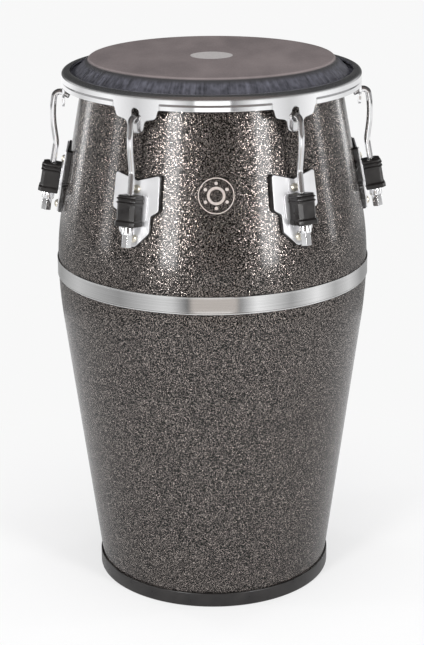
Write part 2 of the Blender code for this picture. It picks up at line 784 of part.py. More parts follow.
def boot_section(half, z):
    """The boot seen from above at one height: square, its corners cut, its back against the saddle."""
    back = SADDLE_RISE + SEAT_GAP
    front = ROD_OFFSET + half
    cut = BOOT_CORNER
    return [
        (back, -half + cut, z),
        (back + cut, -half, z),
        (front - cut, -half, z),
        (front, -half + cut, z),
        (front, half - cut, z),
        (front - cut, half, z),
        (back + cut, half, z),
        (back, half - cut, z),
    ]


def make_boot_mesh():
    """A rubber cover with two ribs and a flared skirt, open below and slotted for the arms."""
    sections = [
        boot_section(BOOT_HALF + BOOT_FLARE, BOOT_BOTTOM),
        boot_section(BOOT_HALF, BOOT_FLARE_START),
    ]
    for height in BOOT_RIBS:
        sections += [
            boot_section(BOOT_HALF, height - BOOT_RIB_HEIGHT / 2),
            boot_section(BOOT_HALF + BOOT_RIB, height),
            boot_section(BOOT_HALF, height + BOOT_RIB_HEIGHT / 2),
        ]
    sections += [
        boot_section(BOOT_HALF, BOOT_TOP - BOOT_CROWN),
        boot_section(BOOT_HALF - BOOT_CROWN, BOOT_TOP),
    ]
    reach = RECEIVER_WIDTH / 2 + BOOT_SLACK
    cavity = box_mesh(
        "boot_cavity",
        (ROD_OFFSET - reach, -reach, BOOT_BOTTOM - BOOT_FLARE),
        (ROD_OFFSET + reach, reach, RECEIVER_TOP + BOOT_SLACK),
    )
    arm_slot_half = ARM_WIDTH / 2 + BOOT_SLACK
    arm_slot = box_mesh(
        "boot_arm_slot",
        (0, -arm_slot_half, BOOT_BOTTOM - BOOT_FLARE),
        (ROD_OFFSET, arm_slot_half, ARM_HEIGHTS[0] + ARM_HEIGHT / 2 + BOOT_SLACK),
    )
    rod_hole = rod_mesh(
        "boot_rod_hole",
        ROD_HOLE_RADIUS + BOOT_SLACK,
        RECEIVER_TOP - WASHER,
        BOOT_TOP + WASHER,
        ROUND_SIDES,
        Matrix.Translation((ROD_OFFSET, 0, 0)),
    )
    cuts = (cavity, arm_slot, rod_hole)
    return combined(lofted("lug_boot", sections), [("DIFFERENCE", cut, IN_PLACE) for cut in cuts])


def arc_points(centre, radius, first, last, steps):
    """Points of an arc in the lug's X and Z, its first point left out."""
    angles = [first + (last - first) * step / steps for step in range(1, steps + 1)]
    return [
        (centre[0] + radius * math.cos(angle), centre[1] + radius * math.sin(angle))
        for angle in angles
    ]


def rod_route():
    """The rod's centre line from its lower end to the hook's tip, as (out, up) in the lug's frame."""
    droop = HOOK_DROOP + UPPER_TILT
    bearing_z = (
        SLOT_BOTTOM_Z
        + SEAT_GAP
        + ROD_RADIUS / math.cos(droop)
        + (EAR_OUTER_RADIUS - EAR_INNER_RADIUS) / 2 * math.tan(droop)
    )
    seat_out, seat_up = in_lug(EAR_MIDDLE_RADIUS, bearing_z)
    leg_out, _ = in_lug(EAR_OUTER_RADIUS + HOOK_ROOM + ROD_RADIUS, bearing_z)
    before_seat = (leg_out - HOOK_RADIUS * (1 + math.sin(HOOK_DROOP)) - seat_out) / math.cos(HOOK_DROOP)
    hook_up = seat_up + before_seat * math.sin(HOOK_DROOP) - HOOK_RADIUS * math.cos(HOOK_DROOP)

    step_out = leg_out - ROD_OFFSET
    upper_bend_radius = (step_out - BEND_STRAIGHT * math.sin(BEND_ANGLE)) / (
        1 - math.cos(BEND_ANGLE)
    ) - LOWER_BEND_RADIUS
    rise = (LOWER_BEND_RADIUS + upper_bend_radius) * math.sin(BEND_ANGLE)
    bend_start = hook_up - rise - BEND_STRAIGHT * math.cos(BEND_ANGLE)

    route = [(ROD_OFFSET, ROD_BOTTOM), (ROD_OFFSET, bend_start)]
    route += arc_points(
        (ROD_OFFSET + LOWER_BEND_RADIUS, bend_start),
        LOWER_BEND_RADIUS,
        math.pi,
        math.pi - BEND_ANGLE,
        LOWER_BEND_STEPS,
    )
    upper_centre = (leg_out - upper_bend_radius, hook_up)
    route.append(
        (
            upper_centre[0] + upper_bend_radius * math.cos(BEND_ANGLE),
            upper_centre[1] - upper_bend_radius * math.sin(BEND_ANGLE),
        )
    )
    route += arc_points(upper_centre, upper_bend_radius, -BEND_ANGLE, 0, UPPER_BEND_STEPS)
    hook_centre = (leg_out - HOOK_RADIUS, hook_up)
    route += arc_points(hook_centre, HOOK_RADIUS, 0, math.pi / 2 + HOOK_DROOP, HOOK_STEPS)
    route.append(
        (
            seat_out - HOOK_TIP * math.cos(HOOK_DROOP),
            seat_up - HOOK_TIP * math.sin(HOOK_DROOP),
        )
    )
    return route


def make_rod_mesh():
    """A round bar bent out in a long S and over into a hook. Its origin is on its straight axis."""
    curve = bpy.data.curves.new("tuning_rod", "CURVE")
    curve.dimensions = "3D"
    curve.bevel_depth = ROD_RADIUS
    curve.bevel_resolution = ROD_SIDES // 4
    curve.use_fill_caps = True
    curve.twist_mode = "MINIMUM"
    spline = curve.splines.new("POLY")
    route = rod_route()
    spline.points.add(len(route) - 1)
    for point, (out, up) in zip(spline.points, route):
        point.co = (out - ROD_OFFSET, 0, up, 1)
    mesh = baked(new_object("tuning_rod", curve, CUTTERS))
    bpy.data.curves.remove(curve)
    return welded(mesh)


def make_nut_mesh():
    """A hexagon nut under a round collar, bored for the rod. Its origin is at its top, on its axis."""
    corner = HEX_ACROSS_FLATS / 2 / math.cos(math.pi / 6)
    collar = rod_mesh("nut_collar", COLLAR_RADIUS, -COLLAR_LENGTH, 0, ROUND_SIDES)
    hexagon = rod_mesh("nut_hexagon", corner, NUT_BOTTOM - NUT_TOP, -COLLAR_LENGTH / 2, 6)
    bore = rod_mesh("nut_bore", ROD_HOLE_RADIUS, NUT_BOTTOM - NUT_TOP - WASHER, WASHER, ROUND_SIDES)
    return combined(collar, [("UNION", hexagon, IN_PLACE), ("DIFFERENCE", bore, IN_PLACE)])


def make_washer_mesh():
    profile = [
        (WASHER_RADIUS, 0),
        (WASHER_RADIUS, -WASHER),
        (ROD_HOLE_RADIUS, -WASHER),
        (ROD_HOLE_RADIUS, 0),
    ]
    return turned_mesh("nut_washer", profile, ROUND_SIDES)


def make_bolt_mesh():
    """A domed bolt along X, its head's underside at the origin."""
    shoulder = 0.7
    profile = [
        (0, DOME_HEIGHT),
        (DOME_RADIUS * shoulder, DOME_HEIGHT * shoulder),
        (DOME_RADIUS, 0),
        (BOLT_RADIUS, 0),
        (BOLT_RADIUS, BOLT_END - SEAT_GAP),
        (0, BOLT_END - SEAT_GAP),
    ]
    mesh = turned_mesh("lug_bolt", profile, BOLT_SIDES, closed=False)
    mesh.transform(OUTWARDS)
    return mesh


def make_strip_mesh():
    """The steel strip inside the shell, with a welded nut for each bolt."""
    strip = box_mesh(
        "backing_strip",
        (STRIP_FACE - STRIP, -STRIP_WIDTH / 2, STRIP_BOTTOM),
        (STRIP_FACE, STRIP_WIDTH / 2, STRIP_TOP),
    )
    steps = []
    for height in BOLT_HEIGHTS.values():
        place = Matrix.Translation((0, 0, height)) @ OUTWARDS
        weld_nut = rod_mesh(
            "weld_nut",
            WELD_NUT_RADIUS,
            STRIP_FACE - STRIP - WELD_NUT,
            STRIP_FACE - STRIP / 2,
            6,
            place,
        )
        steps.append(("UNION", weld_nut, IN_PLACE))
        steps.append(("DIFFERENCE", bolt_hole(height), IN_PLACE))
    return combined(strip, steps)


def make_lugs():
    """Six lugs, each with its pieces under an empty that stands on the shell's slope."""
    rod_axis = (ROD_OFFSET, 0, 0)
    pieces = [
        ("tuning_rod", make_rod_mesh(), CHROME, rod_axis),
        ("side_plate", make_plate_mesh(), CHROME, (0, 0, 0)),
        ("plate_gasket", make_gasket_mesh(), BLACK_RUBBER, (0, 0, 0)),
        ("lug_boot", make_boot_mesh(), BLACK_RUBBER, (0, 0, 0)),
        ("tuning_nut", make_nut_mesh(), CHROME, (ROD_OFFSET, 0, NUT_TOP)),
        ("nut_washer", make_washer_mesh(), ZINC_STEEL, (ROD_OFFSET, 0, WASHER_TOP)),
        ("backing_strip", make_strip_mesh(), ZINC_STEEL, (0, 0, 0)),
    ]
    bolt = make_bolt_mesh()
    pieces += [(name, bolt, CHROME, (SEAT_GAP, 0, height)) for name, height in BOLT_HEIGHTS.items()]
    for number in range(LUGS):
        frame = new_object(f"lug_{number + 1}", None)
        frame.empty_display_size = PLATE_TOP
        frame.matrix_world = lug_matrix(number)
        for name, mesh, finish, location in pieces:
            finished(f"{name}_{number + 1}", mesh, finish, frame, location)


make_shell()
make_band()
make_foot_ring()
make_skin()
make_hoop()
make_rim()
make_lugs()
bpy.context.view_layer.update()
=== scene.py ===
# %% [markdown]
# # A tumba in Blender
# A tumba is the widest drum of the conga family. Its glass-fibre shell swells to a belly and is open
# below. A hide head lies over the top edge, tucked round a hidden hoop, and a chromed rim pulls it down
# with six hooked rods. Each rod runs through a rubber boot on the side of the shell and ends in a nut.
#
# The imported model gives every piece its place and its motion. This lesson gives each piece the fine
# surface that the eye sees. We start by loading that frame, with a helper that reads the box of any of its
# parts.

# %% Load the frame
import json
from math import acos, atan2, cos, degrees, exp, pi, radians, sin, sqrt, tan

import bmesh
import bpy
import numpy as np
from mathutils import Matrix, Vector

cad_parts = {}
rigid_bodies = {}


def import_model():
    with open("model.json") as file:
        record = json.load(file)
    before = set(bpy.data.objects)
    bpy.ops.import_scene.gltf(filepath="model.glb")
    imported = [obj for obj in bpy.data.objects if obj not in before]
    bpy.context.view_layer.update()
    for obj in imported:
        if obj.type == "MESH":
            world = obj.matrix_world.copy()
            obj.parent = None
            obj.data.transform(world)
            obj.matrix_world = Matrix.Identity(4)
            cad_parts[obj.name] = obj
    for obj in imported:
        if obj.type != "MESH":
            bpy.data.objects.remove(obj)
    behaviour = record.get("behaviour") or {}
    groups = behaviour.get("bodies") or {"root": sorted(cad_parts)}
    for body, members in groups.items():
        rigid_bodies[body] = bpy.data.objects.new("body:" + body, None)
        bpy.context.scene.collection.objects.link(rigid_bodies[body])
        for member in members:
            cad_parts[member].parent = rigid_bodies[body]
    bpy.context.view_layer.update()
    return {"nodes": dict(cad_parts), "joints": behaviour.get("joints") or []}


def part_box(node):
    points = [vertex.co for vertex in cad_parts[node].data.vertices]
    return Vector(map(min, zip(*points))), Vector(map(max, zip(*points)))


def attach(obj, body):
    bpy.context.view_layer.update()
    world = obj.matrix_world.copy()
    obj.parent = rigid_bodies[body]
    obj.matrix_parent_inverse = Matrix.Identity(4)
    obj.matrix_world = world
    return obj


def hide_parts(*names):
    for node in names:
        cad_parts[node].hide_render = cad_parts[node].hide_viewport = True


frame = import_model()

# %% [markdown]
# ## The sizes that the drum is drawn from
# A drum is a body of revolution, so a handful of radii and heights describe it. They are real sizes in
# metres, and the same ones that the solids have. A few of them are printed.

# %% Driving sizes
GAP = 0.0003
HEAD_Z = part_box("head_skin")[1].z
HIDE = 0.0018
CREST_Z = HEAD_Z - HIDE - GAP
BEARING_RADIUS = 0.1565
BEARING_WIDTH = 0.0082
BEARING_FALL = radians(50)
SHELL_WALL = 0.006
UPPER_BELLY_ARC = 0.400
LOWER_BELLY_ARC = 0.600
BELLY_Z = 0.441
LOWER_TILT = radians(7.3)
FOOT_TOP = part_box("foot_ring")[1].z

JOINTS = {joint["name"]: joint for joint in frame["joints"]}
LUGS = sum(name.startswith("rod_") for name in JOINTS)
LUG_STEP = 2 * pi / LUGS
TILT = acos(Vector(JOINTS["rod_1_slide"]["axis"]).z)
ROD_OFFSET = 0.0144
ROD_POINT = Vector(JOINTS["nut_1_turn"]["pos_m"])
LUG_ORIGIN = ROD_POINT - ROD_OFFSET * Vector((cos(TILT), 0, sin(TILT)))
print(f"{LUGS} lugs, leaning {degrees(TILT):.1f} degrees, plates at radius {LUG_ORIGIN.x * 1000:.1f} mm")

# %% [markdown]
# ## The line of the shell
# The outer line is a cone, two arcs that meet at the belly, and a second cone. Written as one function of
# height, it serves the shell itself, the gaskets that are shaped to it and the print that lies on it.

# %% The shell's radius at any height
SHELL_TOP_RADIUS = BEARING_RADIUS + BEARING_WIDTH
SHELL_TOP_Z = CREST_Z - BEARING_WIDTH * tan(BEARING_FALL)
UPPER_TANGENT_Z = BELLY_Z + UPPER_BELLY_ARC * sin(TILT)
LOWER_TANGENT_Z = BELLY_Z - LOWER_BELLY_ARC * sin(LOWER_TILT)
CONE_GROWTH = (SHELL_TOP_Z - UPPER_TANGENT_Z) * tan(TILT)
BELLY_RADIUS = SHELL_TOP_RADIUS + CONE_GROWTH + UPPER_BELLY_ARC * (1 - cos(TILT))


def shell_radius(z):
    arc, tilt, tangent_z = LOWER_BELLY_ARC, LOWER_TILT, LOWER_TANGENT_Z
    if z >= BELLY_Z:
        arc, tilt, tangent_z = UPPER_BELLY_ARC, TILT, UPPER_TANGENT_Z
    if abs(z - BELLY_Z) < abs(tangent_z - BELLY_Z):
        return BELLY_RADIUS - arc + sqrt(arc**2 - (z - BELLY_Z) ** 2)
    return BELLY_RADIUS - arc * (1 - cos(tilt)) - abs(z - tangent_z) * tan(tilt)


# %% [markdown]
# ## Helpers for shapes
# Real edges are never knife sharp: light catches the small round on them. So an outline here is a list
# of corners, each with its own radius, and one helper turns it into points on arcs. Another helper spins
# an outline round the drum's axis. The spin could be a Screw modifier, but the points are quick to
# compute, and the seam closes by itself because the last column joins the first one.

# %% Outlines


def rounded(corners, steps=5, closed=True):
    """Points of an outline whose (x, y, radius) corners are replaced by arcs."""
    points = []
    for index, (x, y, radius) in enumerate(corners):
        corner = Vector((x, y))
        at_end = not closed and index in (0, len(corners) - 1)
        if radius == 0 or at_end:
            points.append(corner)
            continue
        before = (Vector(corners[index - 1][:2]) - corner).normalized()
        after = (Vector(corners[(index + 1) % len(corners)][:2]) - corner).normalized()
        half = before.angle(after) / 2
        centre = corner + (before + after).normalized() * (radius / sin(half))
        start = corner + before * (radius / tan(half)) - centre
        end = corner + after * (radius / tan(half)) - centre
        first = atan2(start.y, start.x)
        sweep = (atan2(end.y, end.x) - first + pi) % (2 * pi) - pi
        for step in range(steps + 1):
            angle = first + sweep * step / steps
            points.append(centre + radius * Vector((cos(angle), sin(angle))))
    return points


def both_sides(half):
    """The corners of a right half, mirrored to a whole outline."""
    return list(half) + [(-x, y, radius) for x, y, radius in reversed(half) if x != 0]


def ring_faces(rings, around, closed=False):
    """Faces between rings of points that follow each other."""
    faces = []
    for ring in range(rings - 1 + closed):
        here, there = ring * around, (ring + 1) % rings * around
        for i in range(around):
            j = (i + 1) % around
            faces.append((here + i, here + j, there + j, there + i))
    return faces

# %% Meshes
AROUND = 288
DOUBLED = 0.000002


def linked(name, data):
    made = bpy.data.objects.new(name, data)
    bpy.context.scene.collection.objects.link(made)
    return made


def mesh_object(name, points, faces, edges=()):
    mesh = bpy.data.meshes.new(name)
    mesh.from_pydata([tuple(point) for point in points], edges, faces)
    return linked(name, mesh)


def shade(mesh, sharp=40):
    mesh.shade_smooth()
    mesh.set_sharp_from_angle(angle=radians(sharp))


def tidy(piece, sharp=40):
    """Merges doubled points, turns the faces out and shades the round parts smooth."""
    work = bmesh.new()
    work.from_mesh(piece.data)
    bmesh.ops.remove_doubles(work, verts=work.verts, dist=DOUBLED)
    bmesh.ops.recalc_face_normals(work, faces=work.faces)
    work.to_mesh(piece.data)
    work.free()
    shade(piece.data, sharp)
    return piece


def turned(name, outline, around=AROUND, bend=None):
    """A closed (radius, height) outline spun round the drum's axis. bend may move each ring's points."""
    profile = np.array([tuple(point) for point in outline])
    angle = np.arange(around) * 2 * pi / around
    radius, height = profile[:, 0:1] + 0 * angle, profile[:, 1:2] + 0 * angle
    if bend is not None:
        radius, height = bend(radius, height, angle)
    points = np.stack((radius * np.cos(angle), radius * np.sin(angle), height), axis=-1)
    return tidy(mesh_object(name, points.reshape(-1, 3), ring_faces(len(profile), around, closed=True)))


# %% [markdown]
# ## Helpers for finishes
# Every finish is a node material. Patterns read Object coordinates, so they stay fixed on the piece at
# its real scale wherever the drum moves. The helpers below keep the material cells short. An input
# takes a number or the output of another node, so a finish can be written much like a sum.

# %% Node helpers


def plug(tree, node, inputs):
    """Joins each named input to a node's output, or sets it to a plain value."""
    for name, value in inputs.items():
        if isinstance(value, bpy.types.NodeSocket):
            tree.links.new(value, node.inputs[name])
        else:
            node.inputs[name].default_value = value


def add_node(tree, kind, inputs=None, **settings):
    node = tree.nodes.new(kind)
    for name, value in settings.items():
        setattr(node, name, value)
    plug(tree, node, inputs or {})
    return node


def made_by(tree, kind, inputs=None, out=0, **settings):
    """The output of a new node: its first one, if no other is asked for."""
    return add_node(tree, kind, inputs, **settings).outputs[out]


def maths(tree, operation, *values):
    return made_by(tree, "ShaderNodeMath", dict(enumerate(values)), operation=operation)


def vectors(tree, operation, inputs, out="Vector"):
    return made_by(tree, "ShaderNodeVectorMath", inputs, out, operation=operation)


def mixed(tree, factor, a, b, data="RGBA", blend="MIX"):
    inputs = {"Factor": factor, "A": a, "B": b}
    return made_by(tree, "ShaderNodeMix", inputs, "Result", data_type=data, blend_type=blend)


def ramp_between(tree, source, low, high, least=0.0):
    """The least value below low and 1 above high, eased between."""
    inputs = {"Value": source, "From Min": low, "From Max": high, "To Min": least}
    return made_by(tree, "ShaderNodeMapRange", inputs, "Result", interpolation_type="SMOOTHSTEP")


def ramp(tree, source, stops):
    """A colour ramp on a socket. Each stop is (place, grey) or (place, (r, g, b))."""
    node = add_node(tree, "ShaderNodeValToRGB", {"Fac": source})
    while len(node.color_ramp.elements) < len(stops):
        node.color_ramp.elements.new(1.0)
    for element, (place, colour) in zip(node.color_ramp.elements, stops):
        element.position = place
        element.color = (*(colour if isinstance(colour, tuple) else (colour,) * 3), 1.0)
    return node.outputs["Color"]


def noise(tree, place, scale, detail=3.0, stretch=None):
    """Noise at a scale in features a metre, stretched along the axes if asked."""
    if stretch is not None:
        place = made_by(tree, "ShaderNodeMapping", {"Vector": place, "Scale": stretch})
    inputs = {"Vector": place, "Scale": scale, "Detail": detail}
    return made_by(tree, "ShaderNodeTexNoise", inputs, "Fac")


def bump(tree, height, strength, distance):
    return made_by(tree, "ShaderNodeBump", {"Height": height, "Strength": strength, "Distance": distance})


def new_finish(name):
    """A material, its tree and its Object coordinates."""
    made = bpy.data.materials.new(name)
    made.use_nodes = True
    return made, made.node_tree, made_by(made.node_tree, "ShaderNodeTexCoord", out="Object")


def surface(tree, **inputs):
    """Fills the inputs of the surface shader, with _ for each space in their names."""
    named = {name.replace("_", " "): value for name, value in inputs.items()}
    plug(tree, tree.nodes["Principled BSDF"], named)

# %% [markdown]
# ## The gel coat
# The shell is sprayed with a dark gel coat that holds silver flakes, under a clear gloss layer. Each
# flake is a tiny mirror that lies at its own slight angle, so the glitter grows bright where a lamp is
# reflected and sinks elsewhere. Paint with white dots would miss that. Instead a Voronoi pattern gives
# every flake a random brightness, a roll of the dice at its centre gives it a random tilt, and the
# shader's coat adds the smooth gloss on top.

# %% Gel coat material
FLAKES_PER_METRE = 2150.0
FLAKE_TILT = 0.28
DARK_RESIN = (0.006, 0.005, 0.0045, 1.0)
FLAKE_SILVER = (0.86, 0.76, 0.70, 1.0)


def gel_coat():
    made, tree, place = new_finish("gel_coat")
    cells = add_node(tree, "ShaderNodeTexVoronoi", {"Vector": place, "Scale": FLAKES_PER_METRE})
    random = made_by(tree, "ShaderNodeSeparateColor", {"Color": cells.outputs["Color"]}, "Red")
    flake = ramp(tree, random, [(0.0, 0.0), (0.84, 0.0), (0.93, 0.55), (1.0, 1.0)])
    cloud = noise(tree, place, 45.0, 2.0)
    dice = made_by(tree, "ShaderNodeTexWhiteNoise", {"Vector": cells.outputs["Position"]}, "Color")
    middle = vectors(tree, "SUBTRACT", {0: dice, 1: (0.5, 0.5, 0.5)})
    lean = vectors(tree, "SCALE", {0: middle, "Scale": FLAKE_TILT})
    normal = made_by(tree, "ShaderNodeNewGeometry", out="Normal")
    leaning = vectors(tree, "ADD", {0: normal, 1: lean})
    surface(
        tree,
        Base_Color=mixed(tree, flake, DARK_RESIN, FLAKE_SILVER),
        Metallic=flake,
        Roughness=ramp(tree, cloud, [(0.3, 0.23), (0.7, 0.27)]),
        Normal=vectors(tree, "NORMALIZE", {0: leaning}),
        Specular_IOR_Level=0.03,
        Coat_Weight=0.48,
        Coat_Roughness=0.14,
        Coat_IOR=1.45,
    )
    return made


GEL_COAT = gel_coat()
print("gel coat:", len(GEL_COAT.node_tree.nodes), "nodes")

# %% [markdown]
# ## The other finishes
# Inside, the bare glass fibre shows: dull amber-brown resin over chopped strands. The hardware is
# chromed, and even good chrome has faint hairlines and a little haze. The band is satin steel with its
# grain running round the drum. The rubber is matt and faintly pebbled, and it greys where hands and
# floors rub it. The hide is mottled on top and streaked on its dark collar.

# %% Fibreglass, chrome and steel


def bare_fibreglass():
    made, tree, place = new_finish("bare_fibreglass")
    strands = noise(tree, place, 260.0, 6.0, (1.0, 1.0, 0.25))
    colour = ramp(tree, strands, [(0.3, (0.05, 0.042, 0.034)), (0.7, (0.13, 0.11, 0.085))])
    surface(tree, Base_Color=colour, Roughness=0.62, Normal=bump(tree, strands, 0.6, 0.0006))
    return made


def chromed(name, colour, roughness, haze, metallic=1.0):
    made, tree, place = new_finish(name)
    smear = noise(tree, place, 38.0, 4.0)
    hairlines = noise(tree, place, 900.0, 2.0, (1.0, 1.0, 0.08))
    surface(
        tree,
        Base_Color=(*colour, 1.0),
        Metallic=metallic,
        Roughness=ramp(tree, smear, [(0.35, roughness), (0.75, roughness + haze)]),
        Normal=bump(tree, hairlines, 0.04, 0.00005),
    )
    return made


def satin_band():
    made, tree, place = new_finish("satin_band")
    grain = noise(tree, place, 1.0, 3.0, (9.0, 9.0, 5200.0))
    surface(
        tree,
        Base_Color=ramp(tree, grain, [(0.3, 0.62), (0.7, 0.78)]),
        Roughness=ramp(tree, noise(tree, place, 30.0), [(0.3, 0.07), (0.7, 0.11)]),
        Metallic=1.0,
        Anisotropic=0.3,
        Normal=bump(tree, grain, 0.15, 0.00006),
    )
    return made


FIBREGLASS = bare_fibreglass()
CHROME = chromed("chrome", (0.86, 0.86, 0.87), 0.07, 0.04, 0.92)
PLATE_CHROME = chromed("plate_chrome", (0.66, 0.66, 0.67), 0.30, 0.08, 0.60)
BOLT_STEEL = chromed("bolt_steel", (0.72, 0.68, 0.58), 0.30, 0.10, 0.80)
ZINC = chromed("zinc", (0.52, 0.52, 0.50), 0.32, 0.12)
BAND_STEEL = satin_band()
metals = [CHROME, PLATE_CHROME, BOLT_STEEL, ZINC, BAND_STEEL]
print("finishes:", FIBREGLASS.name, *[metal.name for metal in metals])

# %% Rubber, hide and print
COLLAR_SHADOW = (0.030, 0.029, 0.031, 1.0)


def rubber():
    made, tree, place = new_finish("rubber")
    wear = noise(tree, place, 60.0, 5.0)
    surface(
        tree,
        Base_Color=ramp(tree, wear, [(0.35, (0.006, 0.005, 0.005)), (0.8, (0.018, 0.016, 0.015))]),
        Roughness=ramp(tree, wear, [(0.3, 0.26), (0.8, 0.40)]),
        Normal=bump(tree, noise(tree, place, 1500.0, 2.0), 0.08, 0.0002),
    )
    return made


def drum_hide():
    made, tree, place = new_finish("drum_hide")
    x, y, z = add_node(tree, "ShaderNodeSeparateXYZ", {"Vector": place}).outputs
    mottle = noise(tree, place, 26.0, 6.0, (1.0, 0.45, 1.0))
    fibre = noise(tree, place, 420.0, 4.0, (1.0, 0.25, 1.0))
    blots = noise(tree, place, 150.0, 5.0, (1.0, 1.0, 0.35))
    spoke = vectors(tree, "NORMALIZE", {0: made_by(tree, "ShaderNodeCombineXYZ", {"X": x, "Y": y})})
    gathers = noise(tree, spoke, 46.0, 5.0)
    streaks = maths(tree, "MULTIPLY_ADD", gathers, 0.5, maths(tree, "MULTIPLY", blots, 0.5))
    top = ramp(tree, mottle, [(0.25, (0.148, 0.124, 0.124)), (0.75, (0.216, 0.181, 0.179))])
    side = ramp(tree, streaks, [(0.38, (0.024, 0.024, 0.030)), (0.62, (0.086, 0.086, 0.106))])
    shadow = ramp_between(tree, z, HEAD_Z - 0.0085, HEAD_Z - 0.0030)
    edge = ramp_between(tree, z, HEAD_Z - 0.0032, HEAD_Z - 0.0010)
    surface(
        tree,
        Base_Color=mixed(tree, edge, mixed(tree, shadow, side, COLLAR_SHADOW), top),
        Roughness=ramp(tree, fibre, [(0.3, 0.54), (0.7, 0.68)]),
        Specular_IOR_Level=0.35,
        Normal=bump(tree, fibre, 0.18, 0.0003),
    )
    return made


def pale_print(name, colour):
    made, tree, place = new_finish(name)
    dull = tuple(0.82 * part for part in colour)
    worn = ramp(tree, noise(tree, place, 350.0, 4.0), [(0.35, dull), (0.65, colour)])
    surface(tree, Base_Color=worn, Roughness=0.35, Coat_Weight=0.3, Coat_Roughness=0.1)
    return made


RUBBER = rubber()
HIDE_FINISH = drum_hide()
SHELL_PRINT = pale_print("shell_print", (0.40, 0.35, 0.32))
HEAD_PRINT = pale_print("head_print", (0.60, 0.57, 0.56))
print("finishes:", len(bpy.data.materials))

# %% [markdown]
# ## The shell
# The real shell is laid up in a mould: smooth outside, rough inside, 6 mm thick, with a thicker wall
# where the hide bears on it. One outline holds all of that, from the round bearing edge down the outside
# and back up the inside. The faces of the inner side get the bare fibreglass.

# %% Shell
EDGE_WALL = 0.0102
EDGE_DEPTH = 0.034
SHELL_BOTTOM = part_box("shell")[0].z
ROWS_BETWEEN = 0.008
END_ROOM = 0.001


def shell_line(top, bottom, inset=0.0):
    rows = max(2, round(abs(top - bottom) / ROWS_BETWEEN))
    heights = [top + (bottom - top) * row / rows for row in range(rows + 1)]
    return [(shell_radius(z) - inset, z, 0) for z in heights]


corners = [
    (BEARING_RADIUS, CREST_Z, 0.0012),
    (SHELL_TOP_RADIUS, SHELL_TOP_Z, 0.002),
    *shell_line(SHELL_TOP_Z - 0.004, SHELL_BOTTOM + END_ROOM),
    (shell_radius(SHELL_BOTTOM), SHELL_BOTTOM, 0.0005),
    (shell_radius(SHELL_BOTTOM) - SHELL_WALL, SHELL_BOTTOM, 0.0005),
    *shell_line(SHELL_BOTTOM + END_ROOM, CREST_Z - EDGE_DEPTH, SHELL_WALL),
    (SHELL_TOP_RADIUS - EDGE_WALL, SHELL_TOP_Z, 0.002),
]
shell = turned("shell_tube", rounded(corners))
shell.data.materials.append(GEL_COAT)
shell.data.materials.append(FIBREGLASS)
for face in shell.data.polygons:
    outwards = face.normal.x * face.center.x + face.normal.y * face.center.y
    face.material_index = int(outwards < 0 and face.center.z < CREST_Z - 0.0005)
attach(shell, "drum")
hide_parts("shell")
print("shell:", len(shell.data.polygons), "faces")

# %% [markdown]
# ## The band and the foot
# The band is a thin strap with a rolled bead along each edge, which is where it shines brightest. The
# foot is a rubber channel pressed on the lower edge. It has a soft corner above and below, and an inner
# flange that grips the wall.

# %% Belly band
BAND_LOW, BAND_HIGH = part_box("belly_band")[0].z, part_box("belly_band")[1].z
BAND_SHEET = 0.0008
BAND_BEAD = 0.00015
BAND_BEAD_HEIGHT = 0.0018

seat = BELLY_RADIUS + GAP
face = seat + BAND_SHEET
bead = face + BAND_BEAD
high, low = BAND_HIGH - BAND_BEAD_HEIGHT, BAND_LOW + BAND_BEAD_HEIGHT
front = [(bead, BAND_HIGH), (bead, high), (face, high - BAND_BEAD)]
front += [(face, low + BAND_BEAD), (bead, low), (bead, BAND_LOW)]
corners = [(radius, z, 0.0003) for radius, z in front]
corners += [(seat, BAND_LOW, 0.0002), (seat, BAND_HIGH, 0.0002)]
band = turned("belly_strap", rounded(corners, 3))
band.data.materials.append(BAND_STEEL)
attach(band, "drum")
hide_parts("belly_band")

# %% Foot ring
FOOT_WALL = 0.0022
FOOT_FLOOR = 0.0042
FLANGE_HEIGHT = 0.0135
FLANGE_WALL = 0.0025

outside = shell_radius(FOOT_TOP) + GAP + FOOT_WALL
inside = shell_radius(FOOT_FLOOR) - SHELL_WALL - GAP
corners = [
    (shell_radius(FOOT_TOP) + GAP, FOOT_TOP, 0.0004),
    (outside, FOOT_TOP, 0.0012),
    (outside, 0.0, 0.0012),
    (inside - FLANGE_WALL, 0.0, 0.0008),
    (inside - FLANGE_WALL, FLANGE_HEIGHT, 0.0008),
    (inside, FLANGE_HEIGHT, 0.0004),
    (inside, FOOT_FLOOR, 0.0004),
    (shell_radius(FOOT_FLOOR) + GAP, FOOT_FLOOR, 0.0004),
]
foot = turned("foot_channel", rounded(corners, 4))
foot.data.materials.append(RUBBER)
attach(foot, "drum")
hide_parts("foot_ring")
print("foot:", len(foot.data.polygons), "faces")

# %% [markdown]
# ## The head
# A wet hide is stretched over the bearing edge and tucked round a hoop. Where the cone of the collar
# widens, the hide has to gather, and it dries in small radial pleats that start below the crease and
# deepen towards the hoop. Here the outline is spun as before, and a bend function then pushes the
# collar's points in and out by a sum of waves. Each wave has its own number of pleats, so that they
# look as uneven as real ones.

